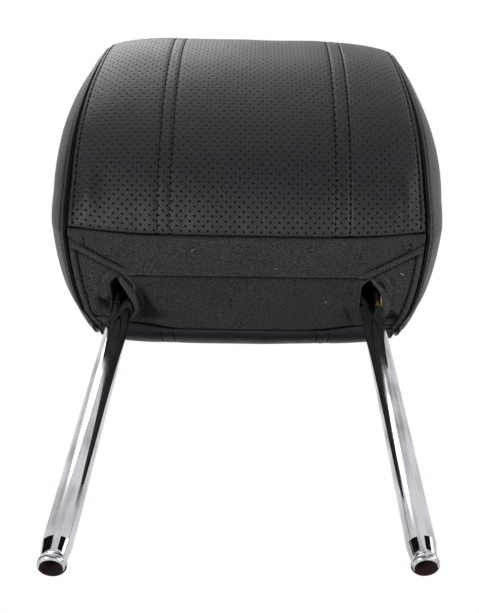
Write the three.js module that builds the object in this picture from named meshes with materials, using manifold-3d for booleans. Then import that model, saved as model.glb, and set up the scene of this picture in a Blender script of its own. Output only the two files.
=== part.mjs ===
// Car headrest: a padded, leather-covered head that tilts on two bent chromed posts.
// Millimetres. +Z is up, the side that meets the head faces -Y, and +X is right in the front view.
// The origin lies midway between the post axes, in the plane where the posts leave the underside.
import * as THREE from 'three';
import { mergeVertices } from 'three/addons/utils/BufferGeometryUtils.js';
import Module from 'manifold-3d';

const wasm = await Module();
wasm.setup();

// Driving dimensions. Distances ahead and behind are measured from the plane of the post axes.
const clearance = 0.3;

const post = {
  diameter: 14,
  wall: 1.6,
  spacing: 165,
  reach: 208,
  bendRadius: 30,
  sides: 20,
  bendSteps: 7,
};

// The swaged end that snaps past the seat's guide: cone, neck, bead and open mouth.
const tip = {
  coneLength: 8.5,
  neckDiameter: 12,
  neckLength: 2.5,
  beadDiameter: 13.2,
  beadLength: 7.5,
  mouthDiameter: 10.4,
  // Outline of the bead from the mouth up: share of its length, share of its diameter
  beadOutline: [[0, 0.86], [0.13, 0.94], [0.35, 1], [0.65, 1], [0.88, 0.965]],
  fillet: 0.4,
};

const tilt = {
  height: 75,
  angle: THREE.MathUtils.degToRad(11),
};

// Side outline of the head. Each ease is the length of a curve's handle at that point.
const outline = {
  baseAhead: 53.5,
  baseBehind: 18.5,
  chinEase: 40.5,
  chinRise: THREE.MathUtils.degToRad(22),
  frontAhead: 134,
  frontHeight: 148,
  frontEaseBelow: 81,
  frontEaseAbove: 56,
  crownAhead: 46,
  height: 203,
  crownEaseAhead: 56,
  crownEaseBehind: 45,
  backBehind: 49,
  backHeight: 50,
  backEaseAbove: 90,
  backEaseBelow: 40,
  baseEaseBehind: 6,
};

// Side seams: how far they run outside the post axes and how the head narrows. The side panels
// swell from them to their middle; a higher power rounds them nearer to the seam.
const seam = {
  outsidePosts: 31.5,
  rearNarrowing: 10.9,
  topNarrowing: 8.2,
  narrowingHeight: 154,
  roll: 6.5,
  rollStart: 20,
  rollPower: 6,
  sideBulge: 23,
  bulgePower: 3.7,
  middleAhead: 38.5,
  middleHeight: 76,
  topBehind: 6,
};

const cover = {
  thickness: 3.5,
  wrapSteps: 44,
  baseSteps: 5,
};

// Underside flaps of thin suede, closed by hook and loop tape where they overlap.
const flap = {
  thickness: 1.8,
  hemAhead: 24,
  hemInsidePosts: 6.5,
  cornerLength: 5,
  rampStartAhead: 13,
  rampEndAhead: 26,
  tuckAhead: 48,
  lipWidth: 2.6,
  lipDrop: 1.3,
  lipSink: 0.2,
};

const tape = {
  thickness: 1,
  width: 17,
  insidePosts: 22,
};

const slot = {
  sideRoom: 0.8,
  foamSideRoom: 1.2,
};

// Moulded two-part carrier inside the foam, split in the plane of the post axes.
const carrier = {
  bottom: 12,
  top: 140,
  outsidePosts: 6,
  topNarrowing: 13,
  cornerRadius: 10,
  shoulder: 1,
  wall: 3,
  legRoom: 3,
  ribHeight: 5,
  ribThickness: 2.4,
};

// Split nylon sleeves grip the cross bar, each held in its saddle by a sprung steel strap.
const sleeve = {
  wall: 2.9,
  length: 20,
  fromCentre: 38,
  slit: 2.5,
};

const strap = {
  thickness: 1.2,
  width: 18,
  earLength: 12.5,
  saddleSideRoom: 2,
  saddleEndRoom: 1,
};

const strapScrew = {
  shankDiameter: 3.4,
  headDiameter: 7.2,
  headHeight: 2.6,
  length: 9,
};

const carrierScrew = {
  shankDiameter: 4,
  headDiameter: 8,
  headHeight: 2.9,
  length: 29,
  upperInset: 14,
  upperDrop: 14,
  lowerFromCentre: 40,
  lowerRise: 12,
  bossWall: 3.2,
  seatWall: 1.6,
};

const pad = {
  width: 12,
  height: 12,
  rise: 2,
  rearThickness: 2.4,
  frontThickness: 1.4,
};

// Worked-out sizes
const postRadius = post.diameter / 2;
const postX = post.spacing / 2;
const travel = tilt.height * Math.tan(tilt.angle);
const slotRadius = postRadius + slot.sideRoom;
const foamSlotRadius = postRadius + slot.foamSideRoom;
const sleeveInner = postRadius + clearance;
const sleeveOuter = sleeveInner + sleeve.wall;
const strapInner = sleeveOuter + clearance;
const strapOuter = strapInner + strap.thickness;
const earFaceY = strap.thickness / 2;
const saddleFaceY = earFaceY + strap.thickness + clearance;
const padLow = carrier.bottom + pad.rise;
const legSwing = (tilt.height - padLow) * Math.tan(tilt.angle);
const legFront = -legSwing - postRadius / Math.cos(tilt.angle);
const frontWallInner = legFront - pad.frontThickness - 2 * clearance;
const rearWallInner = postRadius + pad.rearThickness + 2 * clearance;
const carrierFace = frontWallInner - carrier.wall;
const carrierBack = rearWallInner + carrier.wall;
const rearFlapLow = cover.thickness - flap.thickness;
const tuckLow = flap.thickness + 2 * tape.thickness + 3 * clearance;
const foamInset = cover.thickness + clearance;
// How far a cutting tool runs past what it cuts
const overshoot = 1;

// Colours and finishes
const materials = {
  chrome: new THREE.MeshStandardMaterial({ color: 0xd9dcdf, roughness: 0.06, metalness: 1 }),
  leather: new THREE.MeshStandardMaterial({ color: 0x17181b, roughness: 0.46, metalness: 0 }),
  suede: new THREE.MeshStandardMaterial({ color: 0x2b2a29, roughness: 0.97, metalness: 0 }),
  foam: new THREE.MeshStandardMaterial({ color: 0xb99a52, roughness: 0.95, metalness: 0 }),
  plastic: new THREE.MeshStandardMaterial({ color: 0x202123, roughness: 0.6, metalness: 0 }),
  nylon: new THREE.MeshStandardMaterial({ color: 0xd8d4c8, roughness: 0.5, metalness: 0 }),
  steel: new THREE.MeshStandardMaterial({ color: 0x8e9296, roughness: 0.35, metalness: 1 }),
  rubber: new THREE.MeshStandardMaterial({ color: 0x161616, roughness: 0.9, metalness: 0 }),
  tape: new THREE.MeshStandardMaterial({ color: 0x1b1b1c, roughness: 0.9, metalness: 0 }),
};

const headrest = new THREE.Group();

function addPiece(name, geometry, material) {
  const piece = new THREE.Mesh(geometry, material);
  piece.name = name;
  headrest.add(piece);
}

// Joins and cuts
function toSolid(geometry) {
  const bare = new THREE.BufferGeometry();
  bare.setAttribute('position', geometry.getAttribute('position'));
  if (geometry.index) bare.setIndex(geometry.index);
  const merged = mergeVertices(bare, 1e-4);
  return new wasm.Manifold(new wasm.Mesh({
    numProp: 3,
    vertProperties: new Float32Array(merged.getAttribute('position').array),
    triVerts: new Uint32Array(merged.index.array),
  }));
}

function toGeometry(solid) {
  const mesh = solid.getMesh();
  const geometry = new THREE.BufferGeometry();
  geometry.setAttribute('position', new THREE.BufferAttribute(mesh.vertProperties, 3));
  geometry.setIndex(new THREE.BufferAttribute(mesh.triVerts, 1));
  return geometry;
}

function cut(solid, tools) {
  return tools.map(toSolid).reduce((left, tool) => left.subtract(tool), solid);
}

// Extrusions along each axis, all from outlines drawn in the plane they cross
function extrude(shape, depth, curveSegments) {
  return new THREE.ExtrudeGeometry(shape, { depth, bevelEnabled: false, curveSegments });
}

function alongZ(shape, low, high) {
  const geometry = extrude(shape, high - low, 8);
  geometry.translate(0, 0, low);
  return geometry;
}

function alongY(shape, low, high) {
  const geometry = extrude(shape, high - low, 6);
  geometry.rotateX(Math.PI / 2);
  geometry.translate(0, high, 0);
  return geometry;
}

function alongX(shape, low, high) {
  const geometry = extrude(shape, high - low, 16);
  const turn = new THREE.Matrix4().makeBasis(
    new THREE.Vector3(0, 1, 0),
    new THREE.Vector3(0, 0, 1),
    new THREE.Vector3(1, 0, 0),
  );
  geometry.applyMatrix4(turn);
  geometry.translate(low, 0, 0);
  return geometry;
}

function block(x, y, z) {
  const geometry = new THREE.BoxGeometry(x[1] - x[0], y[1] - y[0], z[1] - z[0]);
  geometry.translate((x[0] + x[1]) / 2, (y[0] + y[1]) / 2, (z[0] + z[1]) / 2);
  return geometry;
}

// A round rod along Y, for bosses and screw holes
function rodAlongY(radius, x, z, low, high) {
  const geometry = new THREE.CylinderGeometry(radius, radius, high - low, 16);
  geometry.translate(x, (low + high) / 2, z);
  return geometry;
}

function polygon(points) {
  return new THREE.Shape(points.map(([a, b]) => new THREE.Vector2(a, b)));
}

// A straight slot with round ends, from one y to another
function stadium(radius, x, yFront, yRear) {
  const shape = new THREE.Shape();
  shape.absarc(x, yRear, radius, 0, Math.PI, false);
  shape.absarc(x, yFront, radius, Math.PI, 2 * Math.PI, false);
  shape.closePath();
  return shape;
}

// A closed surface through rings of points, each ring with as many points as the next
function loft(rings, { closed = false } = {}) {
  const count = rings[0].length;
  const positions = rings.flat().flatMap((p) => [p.x, p.y, p.z]);
  const faces = [];
  const spans = closed ? rings.length : rings.length - 1;
  for (let i = 0; i < spans; i += 1) {
    const here = i * count;
    const next = ((i + 1) % rings.length) * count;
    for (let j = 0; j < count; j += 1) {
      const k = (j + 1) % count;
      faces.push(here + j, here + k, next + j, here + k, next + k, next + j);
    }
  }
  if (!closed) {
    [[0, true], [(rings.length - 1) * count, false]].forEach(([first, start]) => {
      const ring = rings[first / count];
      const middle = ring.reduce((sum, p) => sum.add(p), new THREE.Vector3()).divideScalar(count);
      const hub = positions.length / 3;
      positions.push(middle.x, middle.y, middle.z);
      for (let j = 0; j < count; j += 1) {
        const k = (j + 1) % count;
        faces.push(...(start ? [hub, first + k, first + j] : [hub, first + j, first + k]));
      }
    });
  }
  return meshOf(positions, faces);
}

// A sheet with thickness between an outer and an inner grid of points, outer[row][column]
function sheet(outer, inner) {
  const rows = outer.length;
  const columns = outer[0].length;
  const at = (row, column, side) => (side * rows + row) * columns + column;
  const positions = [...outer.flat(), ...inner.flat()].flatMap((p) => [p.x, p.y, p.z]);
  const faces = [];
  const quad = (a, b, c, d) => faces.push(a, b, c, a, c, d);
  for (let r = 0; r < rows - 1; r += 1) {
    for (let c = 0; c < columns - 1; c += 1) {
      quad(at(r, c, 0), at(r, c + 1, 0), at(r + 1, c + 1, 0), at(r + 1, c, 0));
      quad(at(r, c, 1), at(r + 1, c, 1), at(r + 1, c + 1, 1), at(r, c + 1, 1));
    }
    quad(at(r, 0, 0), at(r + 1, 0, 0), at(r + 1, 0, 1), at(r, 0, 1));
    quad(at(r, columns - 1, 0), at(r, columns - 1, 1), at(r + 1, columns - 1, 1), at(r + 1, columns - 1, 0));
  }
  for (let c = 0; c < columns - 1; c += 1) {
    quad(at(0, c, 0), at(0, c, 1), at(0, c + 1, 1), at(0, c + 1, 0));
    quad(at(rows - 1, c, 0), at(rows - 1, c + 1, 0), at(rows - 1, c + 1, 1), at(rows - 1, c, 1));
  }
  return meshOf(positions, faces);
}

function meshOf(positions, faces) {
  const geometry = new THREE.BufferGeometry();
  geometry.setAttribute('position', new THREE.Float32BufferAttribute(positions, 3));
  geometry.setIndex(faces);
  geometry.computeVertexNormals();
  return geometry;
}

// The posts: one steel tube, bent into an upside-down U and swaged at both open ends
function postStations() {
  const bendZ = tilt.height - post.bendRadius;
  const stations = [];
  const neckLow = tip.beadLength + tip.fillet;
  const neckHigh = tip.beadLength + tip.neckLength;
  const profile = [
    ...tip.beadOutline.map(([rise, width]) => [rise * tip.beadLength, width * tip.beadDiameter / 2]),
    [neckLow, tip.neckDiameter / 2],
    [neckHigh, tip.neckDiameter / 2],
    [neckHigh + tip.coneLength, postRadius],
  ];
  const leg = (side) => profile.map(([rise, outer]) => ({
    x: side * postX,
    z: rise - post.reach,
    lean: 0,
    outer,
    inner: tip.mouthDiameter / 2,
  }));
  const bend = (side) => {
    const made = [];
    for (let i = 0; i <= post.bendSteps; i += 1) {
      const angle = (i / post.bendSteps) * (Math.PI / 2);
      made.push({
        x: side * (postX - post.bendRadius * (1 - Math.cos(angle))),
        z: bendZ + post.bendRadius * Math.sin(angle),
        lean: -side * angle,
        outer: postRadius,
        inner: postRadius - post.wall,
      });
    }
    return made;
  };
  stations.push(...leg(-1), ...bend(-1));
  stations.push(...bend(1).reverse(), ...leg(1).reverse());
  return stations;
}

// A ring of the tube's wall. direction is the angle of the tube's run from straight up, which turns
// through half a circle from the left leg to the right one.
function tubeRing(station, radius, direction) {
  const ring = [];
  const acrossX = Math.cos(direction);
  const acrossZ = -Math.sin(direction);
  for (let i = 0; i < post.sides; i += 1) {
    const angle = (i / post.sides) * 2 * Math.PI;
    const across = radius * Math.cos(angle);
    ring.push(new THREE.Vector3(
      station.x + across * acrossX,
      radius * Math.sin(angle),
      station.z + across * acrossZ,
    ));
  }
  return ring;
}

function postTube() {
  const stations = postStations();
  const direction = (station) => (station.x < 0 ? station.lean : Math.PI + station.lean);
  const outer = stations.map((station) => tubeRing(station, station.outer, direction(station)));
  const inner = stations.map((station) => tubeRing(station, station.inner, direction(station)));
  return loft([...outer, ...inner.reverse()], { closed: true });
}

// Side outline of the head, from the underside's front edge over the top to its rear edge
function headWrap() {
  const point = (ahead, z) => new THREE.Vector2(-ahead, z);
  const baseFront = point(outline.baseAhead, 0);
  const front = point(outline.frontAhead, outline.frontHeight);
  const crown = point(outline.crownAhead, outline.height);
  const back = point(-outline.backBehind, outline.backHeight);
  const baseRear = point(-outline.baseBehind, 0);
  const chin = new THREE.Vector2(-Math.cos(outline.chinRise), Math.sin(outline.chinRise));
  const wrap = new THREE.CurvePath();
  wrap.add(new THREE.CubicBezierCurve(
    baseFront,
    baseFront.clone().addScaledVector(chin, outline.chinEase),
    point(outline.frontAhead, outline.frontHeight - outline.frontEaseBelow),
    front,
  ));
  wrap.add(new THREE.CubicBezierCurve(
    front,
    point(outline.frontAhead, outline.frontHeight + outline.frontEaseAbove),
    point(outline.crownAhead + outline.crownEaseAhead, outline.height),
    crown,
  ));
  wrap.add(new THREE.CubicBezierCurve(
    crown,
    point(outline.crownAhead - outline.crownEaseBehind, outline.height),
    point(-outline.backBehind, outline.backHeight + outline.backEaseAbove),
    back,
  ));
  wrap.add(new THREE.CubicBezierCurve(
    back,
    point(-outline.backBehind, outline.backHeight - outline.backEaseBelow),
    point(-outline.baseBehind - outline.baseEaseBehind, 0),
    baseRear,
  ));
  return wrap;
}

// Points round the whole side outline, each with its inward normal
function outlineStations() {
  const wrap = headWrap();
  const points = [];
  for (let i = 0; i <= cover.wrapSteps; i += 1) points.push(wrap.getPointAt(i / cover.wrapSteps));
  const rear = points[cover.wrapSteps];
  const front = points[0];
  for (let i = 1; i <= cover.baseSteps; i += 1) {
    points.push(rear.clone().lerp(front, i / (cover.baseSteps + 1)));
  }
  return points.map((point, i) => {
    const before = points[(i + points.length - 1) % points.length];
    const after = points[(i + 1) % points.length];
    const run = after.clone().sub(before).normalize();
    return { y: point.x, z: point.y, run, inward: new THREE.Vector2(run.y, -run.x) };
  });
}

const stations = outlineStations();
const seamStation = stations.findIndex((station, i) => (
  station.y >= seam.topBehind && station.z > outline.backHeight && i <= cover.wrapSteps
));

function smooth(share) {
  const t = THREE.MathUtils.clamp(share, 0, 1);
  return t * t * (3 - 2 * t);
}

// Half the width of the head at its side seams
function seamHalf(y, z) {
  const baseLength = outline.baseAhead + outline.baseBehind;
  const towardsRear = seam.rearNarrowing * smooth((y + outline.baseAhead) / baseLength);
  const towardsTop = seam.topNarrowing * smooth(z / seam.narrowingHeight);
  return postX + seam.outsidePosts - towardsRear - towardsTop;
}

// How far the wrapped surface has rolled in at a share of the half width
function rollAt(station, share) {
  return seam.roll * smooth(station.z / seam.rollStart) * Math.abs(share) ** seam.rollPower;
}

const middle = {
  y: -seam.middleAhead,
  z: seam.middleHeight,
};

// A point of the wrapped surface, at a share of the half width, a depth below it and a distance
// in from the seam
function wrapPoint(station, share, depth, fromSeam, shift = 0) {
  const inset = rollAt(station, share) + depth;
  return new THREE.Vector3(
    share * (seamHalf(station.y, station.z) - fromSeam),
    station.y + station.inward.x * inset + station.run.x * shift,
    station.z + station.inward.y * inset + station.run.y * shift,
  );
}

// A point of a side panel's dome, at a share of the way from its middle to the seam
function sidePoint(station, share, side, inset, depth) {
  const fromOutline = rollAt(station, 1) + inset;
  const edgeY = station.y + station.inward.x * fromOutline;
  const edgeZ = station.z + station.inward.y * fromOutline;
  const flatHalf = THREE.MathUtils.lerp(
    seamHalf(middle.y, middle.z),
    seamHalf(station.y, station.z),
    share * share,
  );
  const swell = seam.sideBulge * (1 - share ** seam.bulgePower);
  return new THREE.Vector3(
    side * (flatHalf + swell - depth),
    middle.y + share * (edgeY - middle.y),
    middle.z + share * (edgeZ - middle.z),
  );
}

const acrossShares = [-1, -0.93, -0.82, -0.62, -0.32, 0, 0.32, 0.62, 0.82, 0.93, 1];
const domeShares = [0.3, 0.58, 0.79, 0.93, 1];

function wrapCover(first, last) {
  const grid = (depth, fromSeam) => {
    const rows = [];
    for (let i = first; i <= last; i += 1) {
      const shift = clearance * (Number(i === first) - Number(i === last)) / 2;
      rows.push(acrossShares.map((share) => wrapPoint(stations[i], share, depth, fromSeam, shift)));
    }
    return rows;
  };
  return sheet(grid(0, clearance), grid(cover.thickness, clearance + cover.thickness));
}

function sideCover(side) {
  const ring = (share, inset, depth) => (
    stations.map((station) => sidePoint(station, share, side, inset, depth))
  );
  const outer = domeShares.map((share) => ring(share, clearance, 0));
  const inner = domeShares.map((share) => ring(share, clearance + cover.thickness, cover.thickness));
  const rings = [...outer, ...inner.reverse()];
  return loft(side < 0 ? rings.reverse() : rings);
}

// Outline of an underside piece that follows both side seams between two distances ahead
function basePlan(ahead, behind, fromSeam) {
  const right = [];
  const steps = 6;
  for (let i = 0; i <= steps; i += 1) {
    const y = -ahead + (i / steps) * (ahead + behind);
    right.push([seamHalf(y, 0) - fromSeam, y]);
  }
  const left = right.map(([x, y]) => [-x, y]).reverse();
  return polygon([...right, ...left]);
}

function frontFlap() {
  const fromSeam = flap.thickness + 2 * clearance;
  const edgeY = -outline.baseAhead + flap.thickness / 2 + clearance;
  const cornerY = edgeY + flap.cornerLength;
  const hemX = postX - flap.hemInsidePosts;
  const right = [
    [seamHalf(edgeY, 0) - fromSeam, edgeY],
    [seamHalf(cornerY, 0) - fromSeam, cornerY],
    [hemX, -flap.hemAhead],
  ];
  const left = right.map(([x, y]) => [-x, y]).reverse();
  return alongZ(polygon([...right, ...left]), 0, flap.thickness);
}

// The rear flap runs level behind the hem, then climbs and tucks in above the front flap
function rearFlap() {
  const wide = seamHalf(-outline.baseAhead, 0);
  const lean = Math.max(0, -stations[cover.wrapSteps].inward.x) * cover.thickness;
  const rearY = outline.baseBehind - lean - clearance / 2;
  const section = polygon([
    [rearY, rearFlapLow],
    [rearY, cover.thickness],
    [-flap.rampStartAhead, cover.thickness],
    [-flap.rampEndAhead, tuckLow + flap.thickness],
    [-flap.tuckAhead, tuckLow + flap.thickness],
    [-flap.tuckAhead, tuckLow],
    [-flap.rampEndAhead, tuckLow],
    [-flap.rampStartAhead, rearFlapLow],
  ]);
  const plan = basePlan(flap.tuckAhead + overshoot, outline.baseBehind, cover.thickness + 2 * clearance);
  const level = tuckLow + flap.thickness;
  const wholeWidth = toSolid(alongX(section, -wide, wide));
  const body = wholeWidth.intersect(toSolid(alongZ(plan, -overshoot, level + overshoot)));
  const lips = [-1, 1].map((side) => {
    const ring = alongZ(
      stadium(slotRadius + flap.lipWidth, side * postX, -travel, 0),
      rearFlapLow - flap.lipDrop,
      cover.thickness - flap.lipSink,
    );
    const ahead = block(
      [-wide, wide],
      [-outline.baseAhead, -flap.hemAhead + 2 * clearance],
      [-overshoot, level],
    );
    return cut(toSolid(ring), [ahead]);
  });
  const slots = [-1, 1].map((side) => (
    alongZ(stadium(slotRadius, side * postX, -travel, 0), -overshoot, level + overshoot)
  ));
  return cut(lips.reduce((whole, lip) => whole.add(lip), body), slots);
}

function tapeStrip(low) {
  const half = postX - tape.insidePosts;
  const frontY = -(flap.tuckAhead + flap.rampEndAhead + tape.width) / 2;
  return block([-half, half], [frontY, frontY + tape.width], [low, low + tape.thickness]);
}

// Outline of the carrier seen from the front: straight beside the legs, then tapering to the top
function carrierOutline(grow) {
  const bottomHalf = postX + postRadius + carrier.outsidePosts + grow;
  const topHalf = bottomHalf - carrier.topNarrowing;
  const low = carrier.bottom - grow;
  const high = carrier.top + grow;
  const r = carrier.cornerRadius;
  const shape = new THREE.Shape();
  shape.moveTo(-bottomHalf + r, low);
  shape.lineTo(bottomHalf - r, low);
  shape.quadraticCurveTo(bottomHalf, low, bottomHalf, low + r);
  shape.lineTo(bottomHalf, tilt.height);
  shape.lineTo(topHalf + carrier.shoulder, high - r);
  shape.quadraticCurveTo(topHalf, high, topHalf - r, high);
  shape.lineTo(-topHalf + r, high);
  shape.quadraticCurveTo(-topHalf, high, -topHalf - carrier.shoulder, high - r);
  shape.lineTo(-bottomHalf, tilt.height);
  shape.lineTo(-bottomHalf, low + r);
  shape.quadraticCurveTo(-bottomHalf, low, -bottomHalf + r, low);
  return shape;
}

const bossPlaces = [];
[-1, 1].forEach((side) => {
  const name = side < 0 ? 'left' : 'right';
  const topHalf = postX + postRadius + carrier.outsidePosts - carrier.topNarrowing;
  const upperX = side * (topHalf - carrierScrew.upperInset);
  const upperZ = carrier.top - carrierScrew.upperDrop;
  const lowerX = side * carrierScrew.lowerFromCentre;
  const lowerZ = carrier.bottom + carrierScrew.lowerRise;
  bossPlaces.push({ name: `upper_${name}`, x: upperX, z: upperZ });
  bossPlaces.push({ name: `lower_${name}`, x: lowerX, z: lowerZ });
});

const legGaps = [-1, 1].map((side) => {
  const half = postRadius + carrier.legRoom;
  return block(
    [side * postX - half, side * postX + half],
    [frontWallInner, rearWallInner],
    [carrier.bottom - overshoot, carrier.bottom + carrier.wall + carrier.cornerRadius],
  );
});

const holeRadius = carrierScrew.shankDiameter / 2 + clearance;
const bossRadius = holeRadius + carrierScrew.bossWall;

function carrierRear() {
  const parting = clearance / 2;
  const shell = cut(
    toSolid(alongY(carrierOutline(0), parting, carrierBack)),
    [alongY(carrierOutline(-carrier.wall), parting - overshoot, rearWallInner)],
  );
  const bosses = bossPlaces.map(({ x, z }) => (
    rodAlongY(bossRadius, x, z, parting, rearWallInner + overshoot)
  ));
  const saddles = [-1, 1].map((side) => {
    const half = sleeve.length / 2 + strap.saddleSideRoom / 2;
    const x = side * sleeve.fromCentre;
    const reach = strapOuter + strap.earLength + strap.saddleEndRoom;
    return block(
      [x - half, x + half],
      [saddleFaceY, rearWallInner + overshoot],
      [tilt.height - reach, tilt.height + reach],
    );
  });
  const grooveShape = new THREE.Shape();
  grooveShape.absarc(0, tilt.height, sleeveOuter + clearance, 0, 2 * Math.PI, false);
  const groove = alongX(grooveShape, -postX + post.bendRadius, postX - post.bendRadius);
  const carrierHoles = bossPlaces.map(({ x, z }) => (
    rodAlongY(holeRadius, x, z, 0, rearWallInner)
  ));
  const whole = [...bosses, ...saddles].reduce((sum, next) => sum.add(toSolid(next)), shell);
  return cut(whole, [groove, ...strapHoles(), ...carrierHoles, ...legGaps]);
}

function carrierFront() {
  const parting = -clearance / 2;
  const shell = cut(
    toSolid(alongY(carrierOutline(0), carrierFace, parting)),
    [alongY(carrierOutline(-carrier.wall), frontWallInner, overshoot)],
  );
  const headRoom = carrierScrew.headDiameter / 2 + clearance;
  const seatRadius = Math.max(bossRadius, headRoom + carrierScrew.seatWall);
  const bosses = bossPlaces.map(({ x, z }) => (
    rodAlongY(seatRadius, x, z, frontWallInner - overshoot, parting)
  ));
  const ribDepth = [frontWallInner - overshoot, frontWallInner + carrier.ribHeight];
  const ribs = [-1, 0, 1].map((place) => {
    const x = place * sleeve.fromCentre;
    return block(
      [x - carrier.ribThickness / 2, x + carrier.ribThickness / 2],
      ribDepth,
      [carrier.bottom + overshoot, carrier.top - overshoot],
    );
  });
  const crossRibLow = tilt.height + strapOuter + strap.earLength;
  ribs.push(block(
    [-postX + postRadius, postX - postRadius],
    ribDepth,
    [crossRibLow, crossRibLow + carrier.ribThickness],
  ));
  const seatY = carrierFace + carrierScrew.headHeight + 2 * clearance;
  const holes = bossPlaces.flatMap(({ x, z }) => [
    rodAlongY(holeRadius, x, z, carrierFace - overshoot, overshoot),
    rodAlongY(headRoom, x, z, carrierFace - overshoot, seatY),
  ]);
  const whole = [...bosses, ...ribs].reduce((sum, next) => sum.add(toSolid(next)), shell);
  return cut(whole, [...holes, ...legGaps]);
}

// A pan-head screw along Y, its head towards the front
function screw(size, x, z, seatY) {
  const headRadius = size.headDiameter / 2;
  const shankRadius = size.shankDiameter / 2;
  const end = size.length;
  const profile = [
    [0, -size.headHeight],
    [0.6 * headRadius, -size.headHeight],
    [0.92 * headRadius, -0.7 * size.headHeight],
    [headRadius, -0.35 * size.headHeight],
    [headRadius, 0],
    [shankRadius, 0],
    [shankRadius, end - shankRadius],
    [0.3 * shankRadius, end],
    [0, end],
  ].map(([r, y]) => new THREE.Vector2(r, y));
  const geometry = new THREE.LatheGeometry(profile, 12);
  geometry.translate(x, seatY, z);
  return toGeometry(toSolid(geometry));
}

const strapScrewPlaces = [];
[-1, 1].forEach((side) => {
  [1, -1].forEach((up) => {
    strapScrewPlaces.push({
      name: `${side < 0 ? 'left' : 'right'}_${up > 0 ? 'upper' : 'lower'}`,
      x: side * sleeve.fromCentre,
      z: tilt.height + up * (strapOuter + strap.earLength / 2),
    });
  });
});

function strapHoles() {
  const end = strapScrew.length + 2 * clearance;
  return strapScrewPlaces.map(({ x, z }) => (
    rodAlongY(strapScrew.shankDiameter / 2 + clearance, x, z, -overshoot, end)
  ));
}

// A nylon bush, split along the bottom so that the strap can squeeze it onto the bar
function splitSleeve(side) {
  const shape = new THREE.Shape();
  const gapInner = Math.asin(sleeve.slit / 2 / sleeveInner);
  const gapOuter = Math.asin(sleeve.slit / 2 / sleeveOuter);
  const down = -Math.PI / 2;
  shape.absarc(0, tilt.height, sleeveOuter, down + gapOuter, down - gapOuter + 2 * Math.PI, false);
  shape.absarc(0, tilt.height, sleeveInner, down - gapInner + 2 * Math.PI, down + gapInner, true);
  shape.closePath();
  const x = side * sleeve.fromCentre;
  return alongX(shape, x - sleeve.length / 2, x + sleeve.length / 2);
}

// An omega strap: half a turn round the front of the sleeve, with a flat ear above and below
function strapClip(side) {
  const z = tilt.height;
  const earFront = earFaceY;
  const earRear = earFaceY + strap.thickness;
  const earTip = strapOuter + strap.earLength;
  const innerAngle = Math.asin(earRear / strapInner);
  const outerAngle = Math.asin(earFront / strapOuter);
  const shape = new THREE.Shape();
  shape.moveTo(earRear, z - earTip);
  shape.lineTo(earRear, z - strapInner * Math.cos(innerAngle));
  shape.absarc(0, z, strapInner, innerAngle - Math.PI / 2, -1.5 * Math.PI - innerAngle, true);
  shape.lineTo(earRear, z + earTip);
  shape.lineTo(earFront, z + earTip);
  shape.absarc(0, z, strapOuter, Math.PI / 2 - outerAngle, 1.5 * Math.PI + outerAngle, false);
  shape.lineTo(earFront, z - earTip);
  shape.closePath();
  const x = side * sleeve.fromCentre;
  const band = toSolid(alongX(shape, x - strap.width / 2, x + strap.width / 2));
  return cut(band, strapHoles());
}

// Rubber pads that the legs meet at both ends of the tilt
function stopPad(side, yFrom, yTo) {
  const x = side * postX;
  return block([x - pad.width / 2, x + pad.width / 2], [yFrom, yTo], [padLow, padLow + pad.height]);
}

// The moulded foam fills the cover and leaves room for the carrier, the legs and the flaps
function foamPad() {
  const seamFrom = foamInset + clearance;
  const bandRings = acrossShares.slice(1, -1).map((share) => (
    stations.map((station) => wrapPoint(station, share, foamInset, seamFrom))
  ));
  const domeRings = (side) => domeShares.map((share) => (
    stations.map((station) => sidePoint(station, share, side, foamInset + clearance, foamInset))
  ));
  const body = toSolid(loft([...domeRings(1), ...bandRings.reverse(), ...domeRings(-1).reverse()]));
  const pocket = alongY(carrierOutline(clearance), carrierFace - clearance, carrierBack + clearance);
  const slots = [-1, 1].map((side) => (
    alongZ(stadium(foamSlotRadius, side * postX, -travel, 0), -overshoot, carrier.bottom + overshoot)
  ));
  const wide = seamHalf(-outline.baseAhead, 0);
  const flapRoom = polygon([
    [outline.baseBehind, 0],
    [outline.baseBehind, foamInset],
    [-flap.rampStartAhead, foamInset],
    [-flap.rampEndAhead, tuckLow + flap.thickness + clearance],
    [-flap.tuckAhead - clearance, tuckLow + flap.thickness + clearance],
    [-flap.tuckAhead - clearance, 0],
  ]);
  return cut(body, [pocket, ...slots, alongX(flapRoom, -wide, wide)]);
}

addPiece('post_tube', postTube(), materials.chrome);
addPiece('carrier_rear', toGeometry(carrierRear()), materials.plastic);
addPiece('carrier_front', toGeometry(carrierFront()), materials.plastic);
[-1, 1].forEach((side) => {
  const name = side < 0 ? 'left' : 'right';
  const rearPad = stopPad(side, postRadius + clearance, rearWallInner - clearance);
  const frontPad = stopPad(side, frontWallInner + clearance, legFront - clearance);
  addPiece(`friction_sleeve_${name}`, splitSleeve(side), materials.nylon);
  addPiece(`sleeve_strap_${name}`, toGeometry(strapClip(side)), materials.steel);
  addPiece(`rear_stop_pad_${name}`, rearPad, materials.rubber);
  addPiece(`front_stop_pad_${name}`, frontPad, materials.rubber);
});
strapScrewPlaces.forEach(({ name, x, z }) => {
  addPiece(`strap_screw_${name}`, screw(strapScrew, x, z, earFaceY - clearance), materials.steel);
});
bossPlaces.forEach(({ name, x, z }) => {
  const seatY = carrierFace + clearance + carrierScrew.headHeight;
  addPiece(`carrier_screw_${name}`, screw(carrierScrew, x, z, seatY), materials.steel);
});
addPiece('foam_pad', toGeometry(foamPad()), materials.foam);
addPiece('front_cover', wrapCover(0, seamStation), materials.leather);
addPiece('rear_cover', wrapCover(seamStation, cover.wrapSteps), materials.leather);
addPiece('side_cover_left', sideCover(-1), materials.leather);
addPiece('side_cover_right', sideCover(1), materials.leather);
addPiece('base_flap_front', frontFlap(), materials.suede);
addPiece('base_flap_rear', toGeometry(rearFlap()), materials.suede);
addPiece('hook_tape', tapeStrip(flap.thickness + clearance), materials.tape);
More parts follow.
